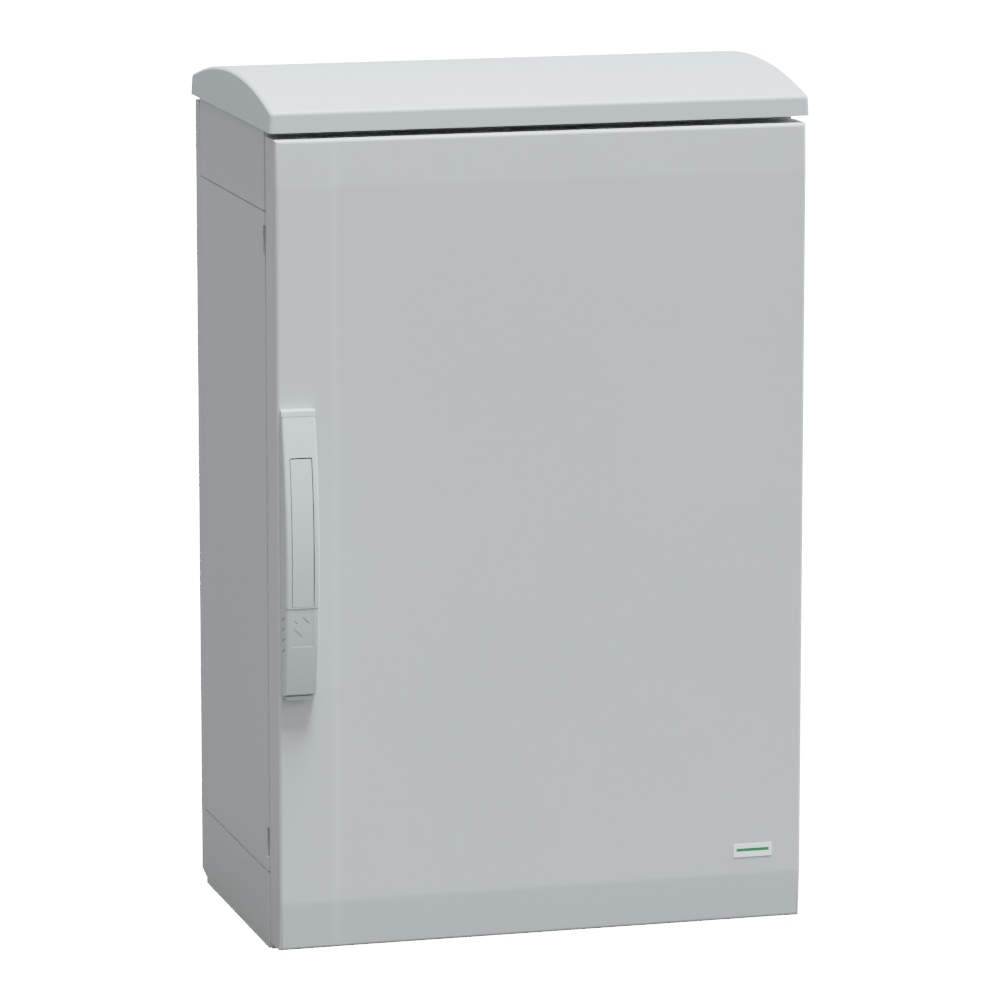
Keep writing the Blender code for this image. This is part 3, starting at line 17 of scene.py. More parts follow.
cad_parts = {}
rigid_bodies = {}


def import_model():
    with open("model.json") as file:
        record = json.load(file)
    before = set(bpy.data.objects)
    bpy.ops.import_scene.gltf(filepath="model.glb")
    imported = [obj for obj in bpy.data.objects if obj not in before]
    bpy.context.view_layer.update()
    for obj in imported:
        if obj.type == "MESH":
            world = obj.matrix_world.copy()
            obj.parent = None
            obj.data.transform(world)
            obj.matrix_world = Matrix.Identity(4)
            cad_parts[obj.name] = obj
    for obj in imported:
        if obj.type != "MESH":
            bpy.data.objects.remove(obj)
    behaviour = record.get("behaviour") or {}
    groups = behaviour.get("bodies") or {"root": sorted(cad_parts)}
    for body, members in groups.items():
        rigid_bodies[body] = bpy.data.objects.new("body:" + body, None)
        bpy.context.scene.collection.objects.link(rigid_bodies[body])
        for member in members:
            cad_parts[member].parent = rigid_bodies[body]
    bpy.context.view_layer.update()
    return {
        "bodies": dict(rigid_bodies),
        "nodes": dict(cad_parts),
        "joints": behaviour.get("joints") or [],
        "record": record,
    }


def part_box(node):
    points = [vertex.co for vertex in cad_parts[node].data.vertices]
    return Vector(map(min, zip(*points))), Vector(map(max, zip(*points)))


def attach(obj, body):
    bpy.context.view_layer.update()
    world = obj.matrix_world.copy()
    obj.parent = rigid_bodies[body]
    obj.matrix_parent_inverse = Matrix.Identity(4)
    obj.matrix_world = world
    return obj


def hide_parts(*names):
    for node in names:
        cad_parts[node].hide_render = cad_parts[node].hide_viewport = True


log = logging.getLogger("cabinet")

Point = tuple[float, float]
Colour = tuple[float, float, float]
EdgeTest = Callable[[Vector, Vector], bool]

# Coordinates closer than this count as the same.
HAIR = 0.00001
# How far a cutter reaches past what it cuts.
BEYOND = 0.01
# How far in front of the door's face the handle's cutters start.
OUT_FRONT = 0.05
# Radius of the canopy's screw holes, in the hood and in the roof under it.
CANOPY_HOLE = 0.0033
# The middle part of a noise's range, where nearly all its values lie.
MID = (0.3, 0.7)
# Flat sides of a small screw hole.
SMALL_SIDES = 24


class Axis(Enum):
    """The direction a shape is drawn along, with the order of its other two coordinates."""

    X = (0, 1, 2)
    Y = (1, 0, 2)
    Z = (2, 0, 1)


class Body(Enum):
    """The moving groups of the cabinet."""

    CABINET = "cabinet"
    DOOR = "door"
    SWIVEL = "swivel"
    LEVER = "lever"
    LOCK_COVER = "lock_cover"
    LOCK_INSERT = "lock_insert"
    LOCK_BOLT = "lock_bolt"
    ROD_UPPER = "rod_upper"
    ROD_LOWER = "rod_lower"


# ------------------------------------------------------------------ drawing shapes
def near(first: float, second: float) -> bool:
    """True when two coordinates are the same within a hair."""
    return abs(first - second) < HAIR


def fillet(points: Sequence[Point], radii: Sequence[float], steps: int = 5) -> list[Point]:
    """Rounds the corners of a closed outline.

    Args:
        points: The outline's corners in order.
        radii: One radius for each corner; zero keeps it sharp.
        steps: Straight pieces in each rounded corner.

    Returns:
        The outline's points with the corners rounded.
    """
    rounded: list[Point] = []
    for index, corner in enumerate(points):
        radius = radii[index]
        here = Vector(corner)
        if radius <= 0:
            rounded.append(corner)
            continue
        to_last = (Vector(points[index - 1]) - here).normalized()
        to_next = (Vector(points[(index + 1) % len(points)]) - here).normalized()
        half_angle = to_last.angle(to_next) / 2
        centre = here + (to_last + to_next).normalized() * radius / math.sin(half_angle)
        start = here + to_last * radius / math.tan(half_angle) - centre
        end = here + to_next * radius / math.tan(half_angle) - centre
        sweep = start.angle_signed(end)
        for step in range(steps + 1):
            turned = Matrix.Rotation(-sweep * step / steps, 2) @ start
            rounded.append((centre.x + turned.x, centre.y + turned.y))
    return rounded


def middle_of(node: str) -> Vector:
    """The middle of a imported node's box."""
    low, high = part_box(node)
    return (low + high) / 2


def oblong(low: Point, high: Point, radius: float) -> list[Point]:
    """A rectangle between two corners with all four corners rounded."""
    corners = [low, (high[0], low[1]), high, (low[0], high[1])]
    return fillet(corners, [radius] * 4)


class Shape:
    """A solid while it is being made, kept in world coordinates."""

    def __init__(self, mesh: bpy.types.Mesh) -> None:
        """Holds a mesh in an object that isn't finished yet."""
        self.item = bpy.data.objects.new("blank", mesh)
        bpy.context.scene.collection.objects.link(self.item)

    @classmethod
    def from_bmesh(cls, shape: bmesh.types.BMesh) -> "Shape":
        """Takes over a bmesh and frees it.

        Args:
            shape: The bmesh to take over.

        Returns:
            The shape that now holds its mesh.
        """
        bmesh.ops.recalc_face_normals(shape, faces=shape.faces)
        mesh = bpy.data.meshes.new("blank")
        shape.to_mesh(mesh)
        shape.free()
        return cls(mesh)

    @classmethod
    def prism(cls, axis: Axis, outline: Sequence[Point], low: float, high: float) -> "Shape":
        """Draws a flat outline out between two values of an axis.

        Args:
            axis: The direction the outline is drawn along.
            outline: Closed outline in the axis's other two coordinates.
            low: Where the solid starts along the axis.
            high: Where it ends.

        Returns:
            The closed solid.
        """
        along, first, second = axis.value
        rows = []
        for level in (low, high):
            row = []
            for point in outline:
                place = [0.0, 0.0, 0.0]
                place[along] = level
                place[first] = point[0]
                place[second] = point[1]
                row.append(place)
            rows.append(row)
        return cls.loft(rows)

    @classmethod
    def loft(cls, rows: Sequence[Sequence[Sequence[float]]]) -> "Shape":
        """A closed solid through rows of points, with as many points in each row.

        Args:
            rows: Points of each closed row, in order along the solid.

        Returns:
            The closed solid.
        """
        shape = bmesh.new()
        rings = [[shape.verts.new(point) for point in row] for row in rows]
        shape.faces.new(rings[0])
        shape.faces.new(rings[-1])
        count = len(rings[0])
        for first, second in zip(rings, rings[1:]):
            for index in range(count):
                after = (index + 1) % count
                shape.faces.new((first[index], first[after], second[after], second[index]))
        return cls.from_bmesh(shape)

    @classmethod
    def block(cls, low: Sequence[float], high: Sequence[float]) -> "Shape":
        """A box between two corners."""
        outline = [(low[0], low[1]), (high[0], low[1]), (high[0], high[1]), (low[0], high[1])]
        return cls.prism(Axis.Z, outline, low[2], high[2])

    @classmethod
    def bar(
        cls, axis: Axis, centre: Sequence[float], radius: float, length: float, sides: int = 40
    ) -> "Shape":
        """A round bar about a centre.

        Args:
            axis: The direction it runs in.
            centre: Its middle.
            radius: Its radius.
            length: Its whole length.
            sides: How many flat sides stand for the round.

        Returns:
            The closed bar.
        """
        along, first, second = axis.value
        turn = 2 * math.pi / sides
        outline = [
            (centre[first] + radius * math.cos(turn * i), centre[second] + radius * math.sin(turn * i))
            for i in range(sides)
        ]
        return cls.prism(axis, outline, centre[along] - length / 2, centre[along] + length / 2)

    @classmethod
    def copy_of(cls, node: str) -> "Shape":
        """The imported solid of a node, with its split corners welded and its flat faces whole.

        Args:
            node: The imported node's name.

        Returns:
            A copy that can be worked on.
        """
        shape = bmesh.new()
        shape.from_mesh(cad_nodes()[node].data)
        bmesh.ops.remove_doubles(shape, verts=shape.verts, dist=HAIR / 2)
        bmesh.ops.dissolve_limit(
            shape, angle_limit=math.radians(0.5), verts=shape.verts, edges=shape.edges
        )
        return cls.from_bmesh(shape)

    def bake(self) -> "Shape":
        """Turns the modifiers into mesh.

        Returns:
            This shape.
        """
        graph = bpy.context.evaluated_depsgraph_get()
        mesh = bpy.data.meshes.new_from_object(self.item.evaluated_get(graph))
        self.item.modifiers.clear()
        self.item.data = mesh
        return self

    def boolean(self, others: Iterable["Shape"], operation: str) -> "Shape":
        """Combines other solids into this one and removes them.

        Args:
            others: The other solids.
            operation: What is done with each of them.

        Returns:
            This shape.
        """
        for other in others:
            modifier = self.item.modifiers.new("cut", "BOOLEAN")
            modifier.operation = operation
            modifier.solver = "EXACT"
            modifier.object = other.item
            self.bake()
            bpy.data.objects.remove(other.item, do_unlink=True)
        return self

    def cut(self, *others: "Shape") -> "Shape":
        """Takes other solids out of this one."""
        return self.boolean(others, "DIFFERENCE")

    def join(self, *others: "Shape") -> "Shape":
        """Adds other solids to this one."""
        return self.boolean(others, "UNION")

    def round(self, radius: float, steps: int, chosen: EdgeTest) -> "Shape":
        """Rounds the edges whose two ends pass a test.

        Args:
            radius: Size of the rounding.
            steps: Faces across the rounding.
            chosen: Takes both ends of an edge and tells whether it is rounded.

        Returns:
            This shape.
        """
        shape = bmesh.new()
        shape.from_mesh(self.item.data)
        edges = [edge for edge in shape.edges if chosen(edge.verts[0].co, edge.verts[1].co)]
        bmesh.ops.bevel(
            shape, geom=edges, offset=radius, segments=steps, profile=0.5, affect="EDGES", clamp_overlap=True
        )
        shape.to_mesh(self.item.data)
        shape.free()
        return self

    def soften(self, width: float, steps: int = 2, sharper_than: float = 32) -> "Shape":
        """Breaks every sharp edge by a small width.

        Args:
            width: Width of the broken edge.
            steps: Faces across it.
            sharper_than: Least angle between the faces, in degrees.

        Returns:
            This shape.
        """
        modifier = self.item.modifiers.new("soft", "BEVEL")
        modifier.width = width
        modifier.segments = steps
        modifier.limit_method = "ANGLE"
        modifier.angle_limit = math.radians(sharper_than)
        return self.bake()

    def widen(self, amount: float, crown: float, rim: float) -> "Shape":
        """Spreads both ends along x, steadily from nothing at the crown to an amount at the rim.

        Args:
            amount: How far each end moves at the rim.
            crown: Height where nothing moves.
            rim: Height of the rim.

        Returns:
            This shape.
        """
        for corner in self.item.data.vertices:
            share = (crown - corner.co.z) / (crown - rim)
            corner.co.x += math.copysign(amount * share, corner.co.x)
        return self

    def turn(self, angle: float, axis: Axis, pivot: Sequence[float]) -> "Shape":
        """Turns the shape about a line through a point along an axis.

        Args:
            angle: How far it turns, in radians.
            axis: The line's direction.
            pivot: A point on the line.

        Returns:
            This shape.
        """
        about = Vector((0, 0, 0))
        about[axis.value[0]] = 1
        there = Matrix.Translation(pivot)
        back = Matrix.Translation(-Vector(pivot))
        self.item.data.transform(there @ Matrix.Rotation(angle, 4, about) @ back)
        return self

    def done(self, name: str, finish: "Finish", body: Body, nodes: Sequence[str]) -> bpy.types.Object:
        """Finishes the shape as a named piece of the cabinet.

        Args:
            name: The piece's name.
            finish: What it is made of.
            body: The moving group it belongs to.
            nodes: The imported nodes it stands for.

        Returns:
            The finished object.
        """
        self.item.name = name
        mesh = self.item.data
        mesh.name = name
        mesh.materials.clear()
        mesh.materials.append(finish.material())
        mesh.shade_smooth()
        mesh.set_sharp_from_angle(angle=math.radians(35))
        weights = self.item.modifiers.new("weighted", "WEIGHTED_NORMAL")
        weights.keep_sharp = True
        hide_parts(*nodes)
        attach(self.item, body.value)
        log.info("%s stands for %s", name, ", ".join(nodes))
        return self.item


_FRAME: dict = {}
_MIXED: dict[str, bpy.types.Material] = {}


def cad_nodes() -> dict[str, bpy.types.Object]:
    """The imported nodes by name."""
    return _FRAME["nodes"]


# ------------------------------------------------------------------ finishes
class Board:
    """A node tree while it is being wired."""

    def __init__(self, tree: bpy.types.NodeTree) -> None:
        """Keeps the tree."""
        self.tree = tree

    def add(self, kind: str, inputs: dict | None = None, **settings: object) -> bpy.types.Node:
        """Adds a node.

        Args:
            kind: The node's type name.
            inputs: Sockets or constants by input name or number.
            **settings: Properties set on the node.

        Returns:
            The new node.
        """
        node = self.tree.nodes.new(kind)
        for key, value in settings.items():
            setattr(node, key, value)
        for key, value in (inputs or {}).items():
            self.feed(node.inputs[key], value)
        return node

    def feed(self, socket: bpy.types.NodeSocket, value: object) -> None:
        """Wires a socket to another, or sets its constant.

        Args:
            socket: The socket to feed.
            value: Another socket, or a constant.
        """
        if isinstance(value, bpy.types.NodeSocket):
            self.tree.links.new(value, socket)
        else:
            socket.default_value = value

    def sum(self, operation: str, first: object, second: object) -> bpy.types.NodeSocket:
        """One step of arithmetic on two values."""
        return self.add("ShaderNodeMath", {0: first, 1: second}, operation=operation).outputs[0]

    def noise(
        self, vector: object, scale: object, detail: float, roughness: float
    ) -> bpy.types.NodeSocket:
        """A soft random value between nought and one."""
        inputs = {"Vector": vector, "Scale": scale, "Detail": detail, "Roughness": roughness}
        return self.add("ShaderNodeTexNoise", inputs).outputs["Fac"]

    def spread(
        self, value: object, low: object, high: object, start: float = 0.0, end: float = 1.0
    ) -> bpy.types.NodeSocket:
        """Stretches a value from one range onto another."""
        inputs = {"Value": value, "From Min": start, "From Max": end, "To Min": low, "To Max": high}
        return self.add("ShaderNodeMapRange", inputs).outputs["Result"]

    def blend(
        self, factor: object, first: object, second: object, mode: str = "MIX"
    ) -> bpy.types.NodeSocket:
        """Mixes two colours.

        Args:
            factor: Share of the second colour.
            first: The first colour.
            second: The second colour.
            mode: How they are blended.

        Returns:
            The mixed colour.
        """
        node = self.add("ShaderNodeMix", data_type="RGBA", blend_type=mode)
        self.feed(node.inputs[0], factor)
        self.feed(node.inputs[6], first)
        self.feed(node.inputs[7], second)
        return node.outputs[2]


class Effects:
    """Shared node groups, each made once and used by every finish that needs it."""

    made: dict[str, bpy.types.NodeTree] = {}

    @classmethod
    def start(
        cls, name: str, inputs: dict[str, object], outputs: dict[str, str]
    ) -> tuple[Board, bpy.types.Node, bpy.types.Node]:
        """Starts a node group with its sockets.

        Args:
            name: The group's name.
            inputs: Constant, or None for a vector, by input name.
            outputs: Socket type by output name.

        Returns:
            The board, the group's input node and its output node.
        """
        tree = bpy.data.node_groups.new(name, "ShaderNodeTree")
        for label, value in inputs.items():
            kind = "NodeSocketFloat"
            if value is None:
                kind = "NodeSocketVector"
            if isinstance(value, tuple):
                kind = "NodeSocketColor"
            socket = tree.interface.new_socket(label, in_out="INPUT", socket_type=kind)
            if value is not None:
                socket.default_value = value
        for label, kind in outputs.items():
            tree.interface.new_socket(label, in_out="OUTPUT", socket_type=kind)
        cls.made[name] = tree
        board = Board(tree)
        return board, board.add("NodeGroupInput"), board.add("NodeGroupOutput")

    @classmethod
    def grain(cls) -> bpy.types.NodeTree:
        """A fine eroded mould grain as a height.

        Returns:
            The node group.
        """
        if "grain" in cls.made:
            return cls.made["grain"]
        board, given, result = cls.start(
            "grain", {"Vector": None, "Density": 900.0}, {"Height": "NodeSocketFloat"}
        )
        fine = board.noise(given.outputs["Vector"], given.outputs["Density"], 3.0, 0.6)
        pits = board.add(
            "ShaderNodeTexVoronoi",
            {
                "Vector": given.outputs["Vector"],
                "Scale": board.sum("MULTIPLY", given.outputs["Density"], 0.6),
            },
            feature="SMOOTH_F1",
        ).outputs["Distance"]
        board.feed(result.inputs["Height"], board.sum("ADD", fine, board.sum("MULTIPLY", pits, 0.5)))
        return cls.made["grain"]

    @classmethod
    def tone(cls) -> bpy.types.NodeTree:
        """Slow changes of tone, as resin and pigment settle in a mould.

        Returns:
            The node group.
        """
        if "tone" in cls.made:
            return cls.made["tone"]
        board, given, result = cls.start(
            "tone",
            {"Vector": None, "Colour": (0.5, 0.5, 0.5, 1.0), "Spread": 0.03},
            {"Colour": "NodeSocketColor", "Mask": "NodeSocketFloat"},
        )
        slow = board.noise(given.outputs["Vector"], 5.0, 2.0, 0.5)
        fleck = board.noise(given.outputs["Vector"], 140.0, 3.0, 0.6)
        mask = board.sum("ADD", board.sum("MULTIPLY", slow, 0.75), board.sum("MULTIPLY", fleck, 0.25))
        high = board.sum("ADD", 1.0, given.outputs["Spread"])
        low = board.sum("SUBTRACT", 1.0, given.outputs["Spread"])
        factor = board.spread(mask, low, high, *MID)
        grey = board.add("ShaderNodeCombineColor", {0: factor, 1: factor, 2: factor}).outputs[0]
        board.feed(result.inputs["Colour"], board.blend(1.0, given.outputs["Colour"], grey, "MULTIPLY"))
        board.feed(result.inputs["Mask"], mask)
        return cls.made["tone"]

    @classmethod
    def spangle(cls) -> bpy.types.NodeTree:
        """The crystal patches of a zinc coat, with rolled streaks across them.

        Returns:
            The node group.
        """
        if "spangle" in cls.made:
            return cls.made["spangle"]
        board, given, result = cls.start(
            "spangle",
            {"Vector": None, "Density": 120.0},
            {"Patch": "NodeSocketFloat", "Streak": "NodeSocketFloat"},
        )
        cells = board.add(
            "ShaderNodeTexVoronoi",
            {"Vector": given.outputs["Vector"], "Scale": given.outputs["Density"], "Randomness": 0.9},
        ).outputs["Color"]
        patch = board.add("ShaderNodeSeparateColor", {0: cells}).outputs[0]
        drawn = board.add(
            "ShaderNodeMapping", {"Vector": given.outputs["Vector"], "Scale": (1.0, 1.0, 0.04)}
        ).outputs[0]
        board.feed(result.inputs["Patch"], patch)
        board.feed(result.inputs["Streak"], board.noise(drawn, 2200.0, 3.0, 0.6))
        return cls.made["spangle"]


def solid(colour: Colour) -> tuple[float, float, float, float]:
    """A colour with full cover."""
    return (*colour, 1.0)


@dataclass(frozen=True)
class Finish:
    """What every finish has: a name, the record's slot and a base colour."""

    name: str
    slot: str
    colour: Colour

    def material(self) -> bpy.types.Material:
        """The finish's material, made on first use.

        Returns:
            The material.
        """
        if self.name in _MIXED:
            return _MIXED[self.name]
        material = bpy.data.materials.new(self.name)
        _MIXED[self.name] = material
        material.use_nodes = True
        board = Board(material.node_tree)
        shader = material.node_tree.nodes["Principled BSDF"]
        place = board.add("ShaderNodeTexCoord").outputs["Object"]
        self.wire(board, shader, place)
        return material

    def wire(self, board: Board, shader: bpy.types.Node, place: bpy.types.NodeSocket) -> None:
        """Wires the finish; each kind of finish has its own way."""
        raise NotImplementedError

    def bump(
        self, board: Board, shader: bpy.types.Node, height: bpy.types.NodeSocket, depth: float
    ) -> None:
        """Raises the surface by a height over a real depth."""
        inputs = {"Height": height, "Distance": depth, "Strength": 1.0}
        board.feed(shader.inputs["Normal"], board.add("ShaderNodeBump", inputs).outputs[0])

    def use(self, board: Board, group: bpy.types.NodeTree, inputs: dict[str, object]) -> bpy.types.Node:
        """Puts a shared effect on the board.

        Args:
            board: The board to wire on.
            group: The effect's node group.
            inputs: Sockets or constants by input name.

        Returns:
            The placed node.
        """
        node = board.add("ShaderNodeGroup", node_tree=group)
        for label, value in inputs.items():
            board.feed(node.inputs[label], value)
        return node


@dataclass(frozen=True)
class Moulded(Finish):
    """A moulded plastic skin with a fine grain and hardly any change of tone."""

    roughness: float = 0.42
    grain_density: float = 900.0
    grain_depth: float = 0.00003
    tone_spread: float = 0.012
    specular: float = 0.45

    def wire(self, board: Board, shader: bpy.types.Node, place: bpy.types.NodeSocket) -> None:
        """Wires tone into colour and roughness, and grain into height.

        Args:
            board: The board to wire on.
            shader: The finish's main shader.
            place: Where each point lies in its piece.
        """
        tone = self.use(
            board, Effects.tone(), {"Vector": place, "Colour": solid(self.colour), "Spread": self.tone_spread}
        )
        grain = self.use(board, Effects.grain(), {"Vector": place, "Density": self.grain_density})
        board.feed(shader.inputs["Base Color"], tone.outputs["Colour"])
        low = self.roughness - 0.04
        high = self.roughness + 0.04
        board.feed(shader.inputs["Roughness"], board.spread(tone.outputs["Mask"], low, high, *MID))
        shader.inputs["Specular IOR Level"].default_value = self.specular
        self.bump(board, shader, grain.outputs["Height"], self.grain_depth)


@dataclass(frozen=True)
class Metal(Finish):
    """A metal skin: zinc coat, bright pin or die casting, by its patch and streak strength."""

    roughness: float = 0.35
    patch_density: float = 120.0
    patch_strength: float = 0.12
    streak_depth: float = 0.00001

    def wire(self, board: Board, shader: bpy.types.Node, place: bpy.types.NodeSocket) -> None:
        """Wires crystal patches into colour and roughness, and streaks into height.

        Args:
            board: The board to wire on.
            shader: The finish's main shader.
            place: Where each point lies in its piece.
        """
        coat = self.use(board, Effects.spangle(), {"Vector": place, "Density": self.patch_density})
        low = 1.0 - self.patch_strength
        factor = board.spread(coat.outputs["Patch"], low, 1.0)
        grey = board.add("ShaderNodeCombineColor", {0: factor, 1: factor, 2: factor}).outputs[0]
        board.feed(shader.inputs["Base Color"], board.blend(1.0, solid(self.colour), grey, "MULTIPLY"))
        shader.inputs["Metallic"].default_value = 1.0
        rough_low = self.roughness - 0.08
        rough_high = self.roughness + 0.08
        rough = board.spread(coat.outputs["Streak"], rough_low, rough_high, *MID)
        board.feed(shader.inputs["Roughness"], rough)
        self.bump(board, shader, coat.outputs["Streak"], self.streak_depth)


@dataclass(frozen=True)
class Foam(Finish):
    """Soft cellular seal rubber."""

    pore_density: float = 1400.0
    pore_depth: float = 0.00012

    def wire(self, board: Board, shader: bpy.types.Node, place: bpy.types.NodeSocket) -> None:
        """Wires open pores into height and a dusty tone into colour.

        Args:
            board: The board to wire on.
            shader: The finish's main shader.
            place: Where each point lies in its piece.
        """
        inputs = {"Vector": place, "Colour": solid(self.colour), "Spread": 0.25}
        tone = self.use(board, Effects.tone(), inputs)
        pores = self.use(board, Effects.grain(), {"Vector": place, "Density": self.pore_density})
        board.feed(shader.inputs["Base Color"], tone.outputs["Colour"])
        board.feed(shader.inputs["Roughness"], board.spread(tone.outputs["Mask"], 0.72, 0.88, *MID))
        shader.inputs["Specular IOR Level"].default_value = 0.25
        self.bump(board, shader, pores.outputs["Height"], self.pore_depth)


@dataclass(frozen=True)
class PrintedPlate(Finish):
    """A blank pale plate with one plain band of colour across it."""

    band_colour: Colour = (0.02, 0.19, 0.06)
    band_low: tuple[float, float] = (0.0, 0.0)
    band_high: tuple[float, float] = (0.0, 0.0)

    def wire(self, board: Board, shader: bpy.types.Node, place: bpy.types.NodeSocket) -> None:
        """Wires the band's mask into the colour.

        Args:
            board: The board to wire on.
            shader: The finish's main shader.
            place: Where each point lies in its piece.
        """
        parts = board.add("ShaderNodeSeparateXYZ", {0: place})
        mask = 1.0
        for socket, low, high in (
            (parts.outputs[0], self.band_low[0], self.band_high[0]),
            (parts.outputs[2], self.band_low[1], self.band_high[1]),
        ):
            mask = board.sum("MULTIPLY", mask, board.sum("GREATER_THAN", socket, low))
            mask = board.sum("MULTIPLY", mask, board.sum("LESS_THAN", socket, high))
        inputs = {"Vector": place, "Colour": solid(self.colour), "Spread": 0.01}
        tone = self.use(board, Effects.tone(), inputs)
        colour = board.blend(mask, tone.outputs["Colour"], solid(self.band_colour))
        board.feed(shader.inputs["Base Color"], colour)
        board.feed(shader.inputs["Roughness"], board.spread(tone.outputs["Mask"], 0.28, 0.36, *MID))
        grain = self.use(board, Effects.grain(), {"Vector": place, "Density": 2600.0})
        self.bump(board, shader, grain.outputs["Height"], 0.000006)


BODY_SKIN = Moulded("moulded_polyester", "body_moulding", (0.490, 0.503, 0.50))
# The canopy's moulded polyester, made lighter and more cyan than the body's so that its top reads as lit:
# part own colour, part painted highlight tint.
CANOPY_SKIN_WITH_PAINTED_HIGHLIGHT = Moulded("canopy_polyester_painted_highlight", "canopy_moulding", (0.495, 0.54, 0.55), roughness=0.4)
HANDLE_SKIN = Moulded(
    "handle_polyamide", "handle_moulding", (0.475, 0.495, 0.50), 0.40, 1500.0, 0.000015, 0.008, 0.45
)
INSIDE_SKIN = Moulded("inside_polyester", "inside_moulding", (0.46, 0.48, 0.48), 0.5)
NYLON = Moulded("glass_filled_nylon", "black_nylon", (0.022, 0.022, 0.024), 0.5, 1100.0, 0.00003, 0.08)
ZINC = Metal("zinc_plated_steel", "plated_steel", (0.62, 0.63, 0.64))
PIN_STEEL = Metal("ground_pin_steel", "bright_steel", (0.70, 0.70, 0.71), 0.24, 300.0, 0.04, 0.000005)
CASTING = Metal("zinc_casting", "die_cast_zinc", (0.50, 0.50, 0.51), 0.4, 700.0, 0.10, 0.00002)
SEAL = Foam("foamed_rubber", "seal_rubber", (0.028, 0.028, 0.03))


